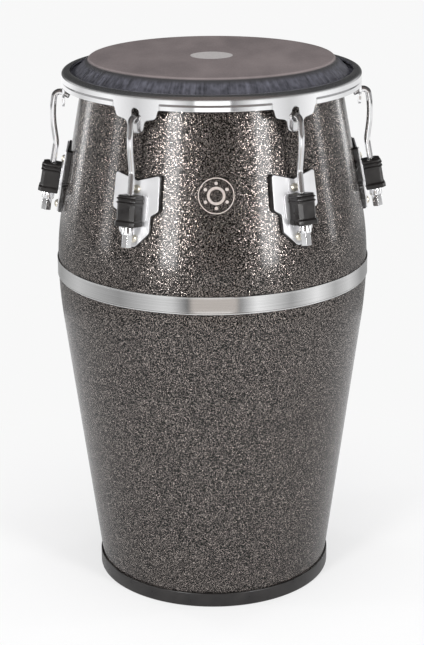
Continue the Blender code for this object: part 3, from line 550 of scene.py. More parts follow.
# %% Drum hide
COLLAR_FALL = radians(44)
HEAD_SHOULDER_Z = HEAD_Z - 0.0207
HIDE_TUCK = 0.0095
HOOP_WIDTH = 0.006
HOOP_HEIGHT = 0.007
HOOP_ROUND = 0.0018
HIDE_STEP = HIDE + GAP
COLLAR_RADIUS = BEARING_RADIUS + 0.0006 + HIDE_STEP * sin(COLLAR_FALL)
COLLAR_Z = CREST_Z + HIDE_STEP * cos(COLLAR_FALL)
CREASE_RADIUS = COLLAR_RADIUS - (HEAD_Z - COLLAR_Z) / tan(COLLAR_FALL)
SHOULDER_RADIUS = COLLAR_RADIUS + (COLLAR_Z - HEAD_SHOULDER_Z) / tan(COLLAR_FALL)
HOOP_INNER = SHOULDER_RADIUS + GAP
HOOP_OUTER = HOOP_INNER + HOOP_WIDTH
HIDE_OUTER = HOOP_OUTER + HIDE_STEP
PLEAT_DEPTH = 0.0008
PLEATS = ((71, 0.3, 0.40), (113, 1.7, 0.35), (157, 4.1, 0.25))
COLLAR_ROWS = 14
CREASE_ROUND = 0.0035
PLANE_RADII = (0.0001, 0.03, 0.06, 0.09, 0.12, 0.14, 0.15)


def along(start, end, parts):
    """The points that part a straight line evenly, with both ends."""
    (x, y), (to_x, to_y) = start, end
    return [(x + (to_x - x) * i / parts, y + (to_y - y) * i / parts) for i in range(parts + 1)]


def pleated(radius, height, angle):
    """Pushes the collar in and out by waves that fade at the crease and above the hoop."""
    below = (HEAD_Z - height) / (HEAD_Z - HEAD_SHOULDER_Z)
    fade = np.clip((below - 0.12) / 0.35, 0, 1) * (radius > CREASE_RADIUS - 0.004)
    wave = sum(share * np.sin(count * angle + phase) for count, phase, share in PLEATS)
    push = PLEAT_DEPTH * fade * wave * (0.65 + 0.35 * np.sin(9 * angle + 0.6))
    tucked = radius > HOOP_OUTER + GAP
    return radius + push * np.where(tucked, 0.3, 0.7), height + push * np.where(tucked, 0, 0.7)


def close_pole(piece):
    """Takes out the tiny tube at the axis and closes the two small holes it leaves."""
    work = bmesh.new()
    work.from_mesh(piece.data)
    tube = [face for face in work.faces if max(v.co.xy.length for v in face.verts) < 0.0005]
    bmesh.ops.delete(work, geom=tube, context="FACES")
    bmesh.ops.holes_fill(work, edges=[edge for edge in work.edges if edge.is_boundary], sides=0)
    bmesh.ops.recalc_face_normals(work, faces=work.faces)
    work.to_mesh(piece.data)
    work.free()


crease, shoulder = (CREASE_RADIUS, HEAD_Z), (SHOULDER_RADIUS, HEAD_SHOULDER_Z)
inwards = HIDE * tan(COLLAR_FALL / 2)
crease_under = (CREASE_RADIUS - inwards, HEAD_Z - HIDE)
shoulder_under = (SHOULDER_RADIUS - inwards, HEAD_SHOULDER_Z - HIDE)
tuck = HEAD_SHOULDER_Z - HIDE_TUCK
corners = [
    *[(radius, HEAD_Z, 0) for radius in PLANE_RADII],
    (*crease, CREASE_ROUND),
    *[(radius, z, 0) for radius, z in along(crease, shoulder, COLLAR_ROWS)[3:-1]],
    (*shoulder, 0.001),
    (HIDE_OUTER, HEAD_SHOULDER_Z, 0.0024),
    (HIDE_OUTER, tuck, 0.0005),
    (HIDE_OUTER - HIDE, tuck, 0.0005),
    (HIDE_OUTER - HIDE, HEAD_SHOULDER_Z - HIDE, 0.0006),
    (*shoulder_under, 0.0006),
    *[(radius, z, 0) for radius, z in along(shoulder_under, crease_under, COLLAR_ROWS)[1:-1]],
    (*crease_under, 0.0015),
    *[(radius, HEAD_Z - HIDE, 0) for radius in reversed(PLANE_RADII)],
]
hide = turned("drum_head", rounded(corners), 720, pleated)
close_pole(hide)
hide.data.materials.append(HIDE_FINISH)
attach(hide, "head")
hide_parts("head_skin")
print(f"hide top {max(v.co.z for v in hide.data.vertices):.4f}, faces {len(hide.data.polygons)}")

# %% Flesh hoop


def sleeve(name, outer, inner, top, bottom, rounds, around):
    """A turned ring, from its section's four sides and the rounds of its four corners."""
    corners = list(zip((outer, outer, inner, inner), (top, bottom, bottom, top), rounds))
    return turned(name, rounded(corners, 4), around)


top = HEAD_SHOULDER_Z - HIDE_STEP
rounds = (HOOP_ROUND,) * 4
hoop = sleeve("tucked_hoop", HOOP_OUTER, HOOP_INNER, top, top - HOOP_HEIGHT, rounds, 192)
hoop.data.materials.append(ZINC)
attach(hoop, "head")
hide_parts("flesh_hoop")
print("hoop:", len(hoop.data.polygons), "faces")

# %% [markdown]
# ## The rim
# The rim starts as one flat steel sheet. Presses give it an inward lip, a round shoulder, a straight
# wall and six ears, and its lower edge is rolled out to a bead between the ears. So it is modelled as
# a sheet: a grid of columns round the drum and rows down the wall. In an ear, the rows stretch down to
# the ear's edge, and the faces of its slot are left out. Solidify then gives the sheet its thickness,
# and a Bevel rounds its cut edges. Cutting the ears with Booleans would work too, but a grid keeps the
# reflections on the chrome free of dents.

# %% Rim sizes
RIM_SHEET = 0.003
RIM_MIDDLE = HIDE_OUTER + 0.0035 + RIM_SHEET / 2
RIM_LIP_RADIUS = HOOP_INNER + 0.0035
RIM_CREST_Z = HEAD_SHOULDER_Z + GAP + RIM_SHEET / 2 + 0.0018
RIM_ROUND = 0.0040
RIM_BOTTOM_Z = HEAD_SHOULDER_Z + GAP + RIM_SHEET - 0.0174
EAR_TOP_Z = RIM_BOTTOM_Z + 0.0110
EAR_TIP_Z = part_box("rim")[0].z
EAR_HALF = 0.042
SLOT_HALF = 0.0053
SLOT_LOW = EAR_TIP_Z + 0.0124
SLOT_HIGH = SLOT_LOW + 0.0181
SLOT_BLEND = 0.009
COLUMN_STEP = 0.0009
BEAD_OUT = 0.00025
BEAD_TOP_Z = RIM_BOTTOM_Z + 0.0066
BEAD_EASE = 0.0030
BEAD_START = 0.0312
BEAD_FADE = 0.0022
ROWS_ABOVE, ROWS_SLOT, ROWS_BELOW = 7, 6, 6
EAR_ROWS = ROWS_ABOVE + ROWS_SLOT + ROWS_BELOW


def ear_edge():
    """The lower edge of the sheet from an ear's middle to where the plain rim starts."""
    corners = [
        (0.0, EAR_TIP_Z, 0),
        (0.0100, EAR_TIP_Z, 0.0082),
        (0.0124, EAR_TIP_Z + 0.0152, 0.0055),
        (0.0272, EAR_TIP_Z + 0.0184, 0.0060),
        (0.0303, RIM_BOTTOM_Z, 0.0032),
        (EAR_HALF, RIM_BOTTOM_Z, 0),
    ]
    return rounded(corners, 9, closed=False)


print(f"ears: {EAR_HALF * 2:.4f} wide at the rim's edge, down to {EAR_TIP_Z:.4f}")

# %% Rim sheet


def eased(value):
    value = np.clip(value, 0, 1)
    return value * value * (3 - 2 * value)


def ear_columns():
    """Distances from an ear's middle at which the grid has a column, on the right side."""
    slot = [SLOT_HALF * sin(pi / 2 * step / 8) for step in range(9)]
    edge = [point.x for point in ear_edge() if point.x > SLOT_HALF + 0.0004]
    extra = [SLOT_HALF + 0.0012, SLOT_HALF + 0.0024]
    columns = sorted(set(round(u, 6) for u in slot + edge + extra))
    filled = [columns[0]]
    for u in columns[1:]:
        pieces = max(1, round((u - filled[-1]) / COLUMN_STEP))
        filled += [filled[-1] + (u - filled[-1]) * (i + 1) / pieces for i in range(pieces)]
    return filled


def column_heights(u):
    """The z of each row below the shoulder, in the column at a distance u from the ear's middle."""
    edge = ear_edge()
    tip = edge[0].y
    bottom = float(np.interp(u, [p.x for p in edge], [p.y for p in edge]))
    span = EAR_TOP_Z - bottom
    share = eased((u - SLOT_HALF) / SLOT_BLEND)
    cap = SLOT_HALF - sqrt(max(SLOT_HALF**2 - min(u, SLOT_HALF) ** 2, 0))
    levels = [EAR_TOP_Z]
    for z, rows_under in ((SLOT_HIGH - cap, ROWS_SLOT + ROWS_BELOW), (SLOT_LOW + cap, ROWS_BELOW)):
        if u > SLOT_HALF:
            z = bottom + span * (z - tip) / (EAR_TOP_Z - tip)
            z += (bottom + span * rows_under / EAR_ROWS - z) * share
        levels.append(z)
    levels.append(bottom)
    rows = (ROWS_ABOVE, ROWS_SLOT, ROWS_BELOW)
    parts = [np.linspace(*ends, count + 1)[1:] for ends, count in zip(zip(levels, levels[1:]), rows)]
    return np.concatenate(([EAR_TOP_Z], *parts))


def shoulder_line():
    """The sheet's middle line from the lip's edge over the shoulder to the top of the wall."""
    lip, top = (RIM_LIP_RADIUS, RIM_CREST_Z + 0.0006, 0), (RIM_MIDDLE, EAR_TOP_Z, 0)
    return rounded([lip, (RIM_MIDDLE, RIM_CREST_Z, RIM_ROUND), top], 10, closed=False)


def rim_angles():
    """Every column as (angle, distance from the nearest ear's middle)."""
    side = ear_columns()
    plain = np.linspace(side[-1] / RIM_MIDDLE, LUG_STEP / 2, 16)[1:]
    right = [(u / RIM_MIDDLE, u) for u in side] + [(angle, EAR_HALF) for angle in plain]
    whole = right + [(LUG_STEP - angle, u) for angle, u in reversed(right[1:-1])]
    return [(lug * LUG_STEP + angle, u) for lug in range(LUGS) for angle, u in whole]


def rim_sheet():
    columns, shoulder = rim_angles(), shoulder_line()
    points = []
    for angle, u in columns:
        heights = column_heights(u)
        clear = eased((u - BEAD_START) / BEAD_FADE)
        roll = eased((BEAD_TOP_Z + BEAD_EASE / 2 - heights) / BEAD_EASE)
        wall = zip(RIM_MIDDLE + BEAD_OUT * clear * roll, heights)
        line = [tuple(p) for p in shoulder[:-1]] + list(wall)
        points += [(r * cos(angle), r * sin(angle), z) for r, z in line]
    rows = len(points) // len(columns)
    slot_row = len(shoulder) - 1 + ROWS_ABOVE
    faces = []
    for column, (_, u) in enumerate(columns):
        beside = (column + 1) % len(columns)
        in_slot = max(u, columns[beside][1]) <= SLOT_HALF + 1e-6
        for row in range(rows - 1):
            if in_slot and slot_row <= row < slot_row + ROWS_SLOT:
                continue
            here, there = column * rows + row, beside * rows + row
            faces.append((here, here + 1, there + 1, there))
    return tidy(mesh_object("rim_sheet", points, faces))

# %% Rim with its thickness
RIM_BEVEL = 0.0007


def baked(piece, name, sharp=40, flat=None):
    """The piece with its modifiers made real. Faces larger than flat are shaded flat."""
    bpy.context.view_layer.update()
    graph = bpy.context.evaluated_depsgraph_get()
    mesh = bpy.data.meshes.new_from_object(piece.evaluated_get(graph))
    bpy.data.objects.remove(piece, do_unlink=True)
    mesh.name = name
    shade(mesh, sharp)
    if flat is not None:
        for face in mesh.polygons:
            face.use_smooth = face.area < flat
    return linked(name, mesh)


def add_bevel(piece, width, segments=3, angle=50):
    bevel = piece.modifiers.new("edges", "BEVEL")
    bevel.width = width
    bevel.segments = segments
    bevel.limit_method = "ANGLE"
    bevel.angle_limit = radians(angle)
    bevel.harden_normals = True


sheet = rim_sheet()
thick = sheet.modifiers.new("sheet", "SOLIDIFY")
thick.thickness = RIM_SHEET
thick.offset = 0.0
thick.use_even_offset = True
add_bevel(sheet, RIM_BEVEL)
rim = baked(sheet, "chromed_rim", 30)
rim.data.materials.append(CHROME)
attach(rim, "head")
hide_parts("rim")

# %% [markdown]
# ## Placing a lug's pieces with Geometry Nodes
# A lug repeats every 60 degrees and leans with the shell. Each of its pieces is modelled once, at the
# origin, with X pointing away from the shell. A Geometry Nodes tree then puts points on a circle and an
# instance on each, turned to face outwards and leaned back. Pieces that stay on the shell are realised
# as one mesh of six. A rod or a nut moves by itself, so for these the tree keeps one point only.

# %% The tree that sets pieces round the drum


def new_tree(name, kinds):
    """A geometry tree with named inputs and one output, and the sockets of its inputs."""
    tree = bpy.data.node_groups.new(name, "GeometryNodeTree")
    for socket, kind in kinds.items():
        tree.interface.new_socket(name=socket, in_out="INPUT", socket_type="NodeSocket" + kind)
    tree.interface.new_socket(name="Geometry", in_out="OUTPUT", socket_type="NodeSocketGeometry")
    return tree, add_node(tree, "NodeGroupInput").outputs


def paint_and_end(tree, geometry, finish):
    real = made_by(tree, "GeometryNodeRealizeInstances", {"Geometry": geometry})
    painted = made_by(tree, "GeometryNodeSetMaterial", {"Geometry": real, "Material": finish})
    add_node(tree, "NodeGroupOutput", {"Geometry": painted})


def build_round_tree():
    kinds = {"Piece": "Object", "Finish": "Material", "Count": "Int", "Only": "Int"}
    kinds |= {"Radius": "Float", "Height": "Float", "Lean": "Float"}
    tree, given = new_tree("set_round_the_drum", kinds)
    ring = {"Vertices": given["Count"], "Radius": given["Radius"]}
    points = made_by(tree, "GeometryNodeMeshCircle", ring)
    index = made_by(tree, "GeometryNodeInputIndex")
    compare = {"kind": "FunctionNodeCompare", "data_type": "INT"}
    other = made_by(tree, inputs={2: index, 3: given["Only"]}, operation="NOT_EQUAL", **compare)
    chosen = made_by(tree, inputs={2: given["Only"], 3: 0}, operation="GREATER_EQUAL", **compare)
    unwanted = made_by(tree, "FunctionNodeBooleanMath", {0: other, 1: chosen}, operation="AND")
    turn = maths(tree, "MULTIPLY", index, maths(tree, "DIVIDE", 2 * pi, given["Count"]))
    back = maths(tree, "MULTIPLY", given["Lean"], -1.0)
    facing = made_by(tree, "ShaderNodeCombineXYZ", {"Y": back, "Z": turn})
    stored = {"Geometry": points, "Name": "facing", "Value": facing}
    points = made_by(tree, "GeometryNodeStoreNamedAttribute", stored, data_type="FLOAT_VECTOR")
    points = made_by(tree, "GeometryNodeDeleteGeometry", {"Geometry": points, "Selection": unwanted})
    lift = made_by(tree, "ShaderNodeCombineXYZ", {"Z": given["Height"]})
    points = made_by(tree, "GeometryNodeSetPosition", {"Geometry": points, "Offset": lift})
    piece = made_by(tree, "GeometryNodeObjectInfo", {"Object": given["Piece"]}, "Geometry")
    named = {"Name": "facing"}
    kept = made_by(tree, "GeometryNodeInputNamedAttribute", named, "Attribute", data_type="FLOAT_VECTOR")
    placed = {"Points": points, "Instance": piece, "Rotation": kept}
    paint_and_end(tree, made_by(tree, "GeometryNodeInstanceOnPoints", placed), given["Finish"])
    return tree


ROUND_TREE = build_round_tree()
print("tree:", len(ROUND_TREE.nodes), "nodes")

# %% Running a tree
FLAT_FACE = 0.000012


def run_tree(name, tree, values, base=None):
    """Evaluates a tree with its named inputs and returns the result as a plain mesh object."""
    holder = base or mesh_object(name + "_holder", [], [])
    modifier = holder.modifiers.new("build", "NODES")
    modifier.node_group = tree
    for item in tree.interface.items_tree:
        if item.item_type == "SOCKET" and item.in_out == "INPUT" and item.name in values:
            modifier[item.identifier] = values[item.name]
    return baked(holder, name, flat=FLAT_FACE)


def set_round(source, name, finish, only=-1):
    values = {"Piece": source, "Finish": finish, "Count": LUGS, "Only": only}
    values |= {"Radius": LUG_ORIGIN.x, "Height": LUG_ORIGIN.z, "Lean": TILT}
    return run_tree(name, ROUND_TREE, values)


def keep_on_shell(source, name, finish, slot, *nodes):
    """Six copies in one mesh, which stand for the six CAD nodes of each name, if any."""
    made = set_round(source, name, finish)
    bpy.data.objects.remove(source, do_unlink=True)
    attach(made, "drum")
    if nodes:
        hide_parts(*[f"{node}_{lug + 1}" for node in nodes for lug in range(LUGS)])
    print(f"{name}: {len(made.data.polygons)} faces")


def keep_moving(source, name, finish, node, body):
    """Six separate copies, each on its own body."""
    for lug in range(LUGS):
        made = set_round(source, f"{name}_{lug + 1}", finish, lug)
        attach(made, f"{body}_{lug + 1}")
        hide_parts(f"{node}_{lug + 1}")
    bpy.data.objects.remove(source, do_unlink=True)
    print(f"{name}: {len(made.data.polygons)} faces each")

# %% [markdown]
# ## The tuning rods
# A rod is 8 mm steel bar. It leaves the boot straight, swings out in a long S to clear the rim, and
# turns over into a hook that bears on the bottom of the ear's slot. The route is worked out from the
# place of that slot, and a second tree sweeps a circle along it. A bevel rounds off both ends.

# %% The rod's route
ROD_RADIUS = 0.004
BORE = ROD_RADIUS + 0.0005
HOOK_RADIUS = 0.0075
HOOK_DROOP = radians(15)
HOOK_TIP = 0.0092
HOOK_ROOM = 0.0053
LOWER_BEND = 0.035
BEND_ANGLE = radians(17)
BEND_STRAIGHT = 0.0132
RECEIVER_BOTTOM = -0.0275
WASHER = 0.0014
NUT_TOP = RECEIVER_BOTTOM - WASHER - 2 * GAP
NUT_BOTTOM = NUT_TOP - 0.0247
ROD_BOTTOM = NUT_BOTTOM + 0.002


def in_lug(radius, z):
    """(out, up) in a lug's frame of a point on its middle plane."""
    out, up = radius - LUG_ORIGIN.x, z - LUG_ORIGIN.z
    return out * cos(TILT) + up * sin(TILT), up * cos(TILT) - out * sin(TILT)


def arc(centre, radius, first, last, steps=16):
    angles = [first + (last - first) * step / steps for step in range(steps + 1)]
    return [(centre[0] + radius * cos(a), centre[1] + radius * sin(a)) for a in angles]


def rod_route():
    """(out, up) points from the rod's lower end to the tip of its hook."""
    droop = HOOK_DROOP + TILT
    bearing_z = SLOT_LOW + GAP + ROD_RADIUS / cos(droop) + RIM_SHEET / 2 * tan(droop)
    seat_out, seat_up = in_lug(RIM_MIDDLE, bearing_z)
    leg_out, _ = in_lug(RIM_MIDDLE + RIM_SHEET / 2 + HOOK_ROOM + ROD_RADIUS, bearing_z)
    to_seat = (leg_out - HOOK_RADIUS * (1 + sin(HOOK_DROOP)) - seat_out) / cos(HOOK_DROOP)
    hook_up = seat_up + to_seat * sin(HOOK_DROOP) - HOOK_RADIUS * cos(HOOK_DROOP)
    aside = leg_out - ROD_OFFSET - BEND_STRAIGHT * sin(BEND_ANGLE)
    upper_bend = aside / (1 - cos(BEND_ANGLE)) - LOWER_BEND
    rise = (LOWER_BEND + upper_bend) * sin(BEND_ANGLE) + BEND_STRAIGHT * cos(BEND_ANGLE)
    bend_up = hook_up - rise
    route = along((ROD_OFFSET, ROD_BOTTOM), (ROD_OFFSET, bend_up), 8)
    route += arc((ROD_OFFSET + LOWER_BEND, bend_up), LOWER_BEND, pi, pi - BEND_ANGLE, 12)[1:]
    route += arc((leg_out - upper_bend, hook_up), upper_bend, -BEND_ANGLE, 0)
    route += arc((leg_out - HOOK_RADIUS, hook_up), HOOK_RADIUS, 0, pi / 2 + HOOK_DROOP)[1:]
    tip = (seat_out - HOOK_TIP * cos(HOOK_DROOP), seat_up - HOOK_TIP * sin(HOOK_DROOP))
    return route + along(route[-1], tip, 12)[1:]


ROUTE = rod_route()
print(f"rod: {len(ROUTE)} points, from {ROUTE[0][1]:.4f} to {max(up for _, up in ROUTE):.4f} up the lug")

# %% The tree that sweeps a rod
ROD_SIDES = 32
ROD_END_ROUND = 0.0012

kinds = {"Geometry": "Geometry", "Bar radius": "Float", "Sides": "Int", "Finish": "Material"}
sweep_tree, given = new_tree("sweep_bar", kinds)
line = made_by(sweep_tree, "GeometryNodeMeshToCurve", {"Mesh": given["Geometry"]})
section = {"Radius": given["Bar radius"], "Resolution": given["Sides"]}
profile = made_by(sweep_tree, "GeometryNodeCurvePrimitiveCircle", section)
swept = {"Curve": line, "Profile Curve": profile, "Fill Caps": True}
paint_and_end(sweep_tree, made_by(sweep_tree, "GeometryNodeCurveToMesh", swept), given["Finish"])

steps = [(i, i + 1) for i in range(len(ROUTE) - 1)]
wire = mesh_object("rod_line", [(out, 0, up) for out, up in ROUTE], [], steps)
values = {"Bar radius": ROD_RADIUS, "Sides": ROD_SIDES, "Finish": CHROME}
rod = tidy(run_tree("rod_source", sweep_tree, values, wire))
add_bevel(rod, ROD_END_ROUND, 4, 70)
rod = baked(rod, "rod_source")
keep_moving(rod, "hooked_rod", CHROME, "tuning_rod", "rod")

# %% [markdown]
# ## The side plates
# Each plate is punched from 2 mm steel: shoulders with a notch between them, a waist under the boot and
# a tongue that ends in a point. A second pressing, the saddle, is welded on its face, and it carries
# the block that the rod runs through. The outlines are rounded, extruded and bevelled. A rubber gasket
# of the same outline fills the space between the flat plate and the round shell.

# %% Flat pieces
PLATE = 0.002


def plate_half(grow=0.0):
    return [
        (0, -0.0570 - grow, 0.0060),
        (0.0209 + grow, -0.0360 - grow / 2, 0.0042),
        (0.0215 + grow, -0.0145 - grow, 0.0040),
        (0.0320 + grow, -0.0078 - grow, 0.0042),
        (0.0307 + grow, 0.0360 + grow, 0.0026),
        (0, 0.0270 + grow, 0.0030),
    ]


def flat_piece(name, half, steps, low, high):
    """The outline of a right half, in the lug's Y and Z, mirrored and extruded along X."""
    outline = rounded(both_sides(half), steps)
    count = len(outline)
    points = [(x, u, v) for x in (low, high) for u, v in outline]
    faces = [tuple(range(count - 1, -1, -1)), tuple(range(count, 2 * count)), *ring_faces(2, count)]
    return tidy(mesh_object(name, points, faces))


plate = flat_piece("plate_source", plate_half(), 7, -PLATE, 0)
add_bevel(plate, 0.00045)
keep_on_shell(baked(plate, "plate_source"), "side_plates", PLATE_CHROME, "chrome", "side_plate")

# %% Saddles with their arms and receivers
SADDLE_HALF = [(0.0175, -0.0220, 0.005), (0.0175, 0.0110, 0.005)]
SADDLE_RISE = 0.002
RECEIVER_HALF = 0.0085
RECEIVER_TOP = 0.0065
ARM_UPS = (0.0, -0.018)
ARM_HALF, ARM_RISE = 0.004, 0.0025
OVERCUT = 0.001


def from_bmesh(name, work):
    mesh = bpy.data.meshes.new(name)
    work.to_mesh(mesh)
    work.free()
    return linked(name, mesh)


def block(name, low, high, bevel):
    """A bevelled box between two corners."""
    size, middle = Vector(high) - Vector(low), (Vector(high) + Vector(low)) / 2
    work = bmesh.new()
    bmesh.ops.create_cube(work, size=1, matrix=Matrix.Translation(middle) @ Matrix.Diagonal((*size, 1)))
    made = from_bmesh(name, work)
    add_bevel(made, bevel)
    return baked(made, name)


def bar(name, radius, low, high, sides=40):
    """A straight bar on the rod's axis."""
    place = Matrix.Translation((ROD_OFFSET, 0, (low + high) / 2))
    ends = {"radius1": radius, "radius2": radius, "depth": high - low}
    work = bmesh.new()
    bmesh.ops.create_cone(work, cap_ends=True, segments=sides, matrix=place, **ends)
    return from_bmesh(name, work)


def joined(name, pieces):
    """One object from several closed ones."""
    work = bmesh.new()
    for piece in pieces:
        work.from_mesh(piece.data)
        bpy.data.objects.remove(piece, do_unlink=True)
    made = from_bmesh(name, work)
    shade(made.data)
    return made


def cut(piece, cutter):
    change = piece.modifiers.new("cut", "BOOLEAN")
    change.operation = "DIFFERENCE"
    change.solver = "EXACT"
    change.object = cutter
    result = baked(piece, piece.name)
    bpy.data.objects.remove(cutter, do_unlink=True)
    return result


saddle = flat_piece("saddle", SADDLE_HALF, 7, 0.00002, SADDLE_RISE)
add_bevel(saddle, 0.0005)
back, front = ROD_OFFSET - RECEIVER_HALF, ROD_OFFSET + RECEIVER_HALF
low, high = (back, -RECEIVER_HALF, RECEIVER_BOTTOM), (front, RECEIVER_HALF, RECEIVER_TOP)
receiver = block("receiver", low, high, 0.001)
receiver = cut(receiver, bar("bore", BORE, RECEIVER_BOTTOM - OVERCUT, RECEIVER_TOP + OVERCUT))
pieces = [baked(saddle, "saddle"), receiver]
for up in ARM_UPS:
    low = (SADDLE_RISE / 2, -ARM_HALF, up - ARM_RISE)
    pieces.append(block("arm", low, (back + OVERCUT, ARM_HALF, up + ARM_RISE), 0.0005))
keep_on_shell(joined("saddle_source", pieces), "lug_saddles", PLATE_CHROME, "chrome")

# %% Gaskets
GASKET_MARGIN = 0.001
GASKET_DEPTH = 0.008
THIN_EDGE = 0.0005
LONG_EDGE = 0.006

# A finely divided pad of the plate's outline, its back pressed to the shell's round face.
front = -PLATE - GAP
pad = flat_piece("gasket_source", plate_half(GASKET_MARGIN), 6, front - GASKET_DEPTH, front)
work = bmesh.new()
work.from_mesh(pad.data)
bmesh.ops.triangulate(work, faces=work.faces)
for _ in range(3):
    long_edges = [edge for edge in work.edges if edge.calc_length() > LONG_EDGE]
    bmesh.ops.subdivide_edges(work, edges=long_edges, cuts=1)
    bmesh.ops.triangulate(work, faces=work.faces)
place = Matrix.Translation(LUG_ORIGIN) @ Matrix.Rotation(-TILT, 4, "Y")
for vert in work.verts:
    if vert.co.x < front - GASKET_DEPTH / 2:
        world = place @ vert.co
        world.x = sqrt((shell_radius(world.z) + GAP) ** 2 - world.y**2)
        vert.co.x = min((place.inverted() @ world).x, front - THIN_EDGE)
work.to_mesh(pad.data)
work.free()
add_bevel(pad, 0.0004, 2, 60)
keep_on_shell(baked(pad, "gasket_source"), "plate_gaskets", RUBBER, "black_rubber", "plate_gasket")

# %% [markdown]
# ## The boots
# A moulded rubber boot covers the receiver. Seen from above it is a square with its corners cut. Two
# ribs run round it near the top, and its skirt flares at the bottom. A stack of such squares, each with
# its own size, makes the shape, and the rows lie closer where the ribs are. Booleans then hollow it
# out for the receiver, its arms and the rod.

# %% Rubber boots
BOOT_HALF = 0.0124
BOOT_CORNER = 0.0040
BOOT_TOP = 0.0100
BOOT_BOTTOM = -0.0282
BOOT_FOOT = 0.0006
BOOT_CROWN = 0.0014
BOOT_RIB = 0.0014
RIB_UPS, RIB_SPREAD = (0.0005, 0.0055), 0.0009
BOOT_FLARE = 0.0015
SKIRT_UP, SKIRT_EASE = -0.0205, 0.0028
PLAIN_ROWS = [-0.0262, -0.0160, -0.0100, -0.0040]
SKIRT_ROWS = [-0.0240 + 0.0006 * i for i in range(8)]
RIB_ROWS = [-0.0028 + 0.00035 * i for i in range(32)]
CAVITY_HALF = RECEIVER_HALF + 0.0004
CAVITY_TOP = RECEIVER_TOP + 0.0004
ARM_ROOM = 0.0004
BELOW_BOOT = -0.035


def boot_width(up):
    """Half the boot's width at a height: plain, with two ribs, a rounded crown and a flared skirt."""
    ribs = sum(exp(-(((up - middle) / RIB_SPREAD) ** 2)) for middle in RIB_UPS)
    skirt = float(eased((SKIRT_UP - up) / SKIRT_EASE))
    crown = min(max(0.0, (up - (BOOT_TOP - BOOT_CROWN)) / BOOT_CROWN), 1)
    return BOOT_HALF + BOOT_RIB * ribs + BOOT_FLARE * skirt - BOOT_CROWN * (1 - sqrt(1 - crown**2))


def boot_ring(up):
    half = boot_width(up)
    back, front = SADDLE_RISE + GAP, ROD_OFFSET + half
    corners = [
        (back, -half, 0.0020),
        (front - BOOT_CORNER, -half, 0.0008),
        (front, -half + BOOT_CORNER, 0.0008),
        (front, half - BOOT_CORNER, 0.0008),
        (front - BOOT_CORNER, half, 0.0008),
        (back, half, 0.0020),
    ]
    return [(x, y, up) for x, y in rounded(corners, 4)]


crown = [BOOT_TOP - BOOT_CROWN * (1 - sin(pi / 2 * i / 5)) for i in range(6)]
rows = sorted([BOOT_BOTTOM + BOOT_FOOT, *PLAIN_ROWS, *SKIRT_ROWS, *RIB_ROWS, *crown])
rings = [boot_ring(up) for up in rows]
rings.insert(0, [(x + (ROD_OFFSET - x) * 0.03, y * 0.97, BOOT_BOTTOM) for x, y, _ in rings[0]])
count, total = len(rings[0]), len(rings) * len(rings[0])
ends = [tuple(range(count - 1, -1, -1)), tuple(range(total - count, total))]
points = [point for ring in rings for point in ring]
boot = tidy(mesh_object("boot_source", points, ring_faces(len(rings), count) + ends), 35)
low = (ROD_OFFSET - CAVITY_HALF, -CAVITY_HALF, BELOW_BOOT)
boot = cut(boot, block("cavity", low, (ROD_OFFSET + CAVITY_HALF, CAVITY_HALF, CAVITY_TOP), 0.0003))
slot_half, slot_top = ARM_HALF + ARM_ROOM, ARM_RISE + ARM_ROOM
low, high = (0, -slot_half, BELOW_BOOT), (ROD_OFFSET, slot_half, slot_top)
boot = cut(boot, block("arm_slot", low, high, 0.0003))
boot = cut(boot, bar("rod_hole", ROD_RADIUS + 0.0009, 0.0, 0.02))
keep_on_shell(boot, "lug_boots", RUBBER, "black_rubber", "lug_boot")

# %% [markdown]
# ## Nuts, washers and bolts
# The tuning nut is one turned and milled piece: a round collar and a long hexagon, with every edge
# broken. Here the collar is spun, the hexagon is a bar of six sides, and a bevel breaks its edges
# before the bore is cut. The bolts have low polished domes.

# %% Nuts and washers
NUT_COLLAR = 0.0082
NUT_COLLAR_LENGTH = 0.0092
HEX_CORNER = 0.0123 / 2 / cos(pi / 6)
WASHER_RADIUS = 0.0084
TO_ROD = Matrix.Translation((ROD_OFFSET, 0, 0))

bottom = NUT_TOP - NUT_COLLAR_LENGTH
collar = sleeve("collar", NUT_COLLAR, BORE, NUT_TOP, bottom, (0.0008, 0.0012, 0.0002, 0.0004), 48)
collar.data.transform(TO_ROD)
hexagon = bar("hexagon", HEX_CORNER, NUT_BOTTOM, bottom + 0.0004, 6)
add_bevel(hexagon, 0.0004, 3, 20)
hexagon = cut(baked(hexagon, "hexagon"), bar("nut_bore", BORE, NUT_BOTTOM - 0.01, NUT_TOP))
keep_moving(joined("nut_source", [collar, hexagon]), "hex_nut", CHROME, "tuning_nut", "nut")

top = RECEIVER_BOTTOM - GAP
rounds = (0.0004, 0.0004, 0.0003, 0.0003)
washer = sleeve("washer", WASHER_RADIUS, BORE, top, top - WASHER, rounds, 48)
washer.data.transform(TO_ROD)
keep_on_shell(washer, "rod_washers", ZINC, "zinc_steel", "nut_washer")

# %% Bolts
BOLT_UPS = (0.017, -0.044)
BOLT_DOME = 0.0054
BOLT_DOME_HEIGHT = 0.0042
BOLT_RADIUS = 0.003
BOLT_REACH = 0.0195
AT_AXIS = 0.00002

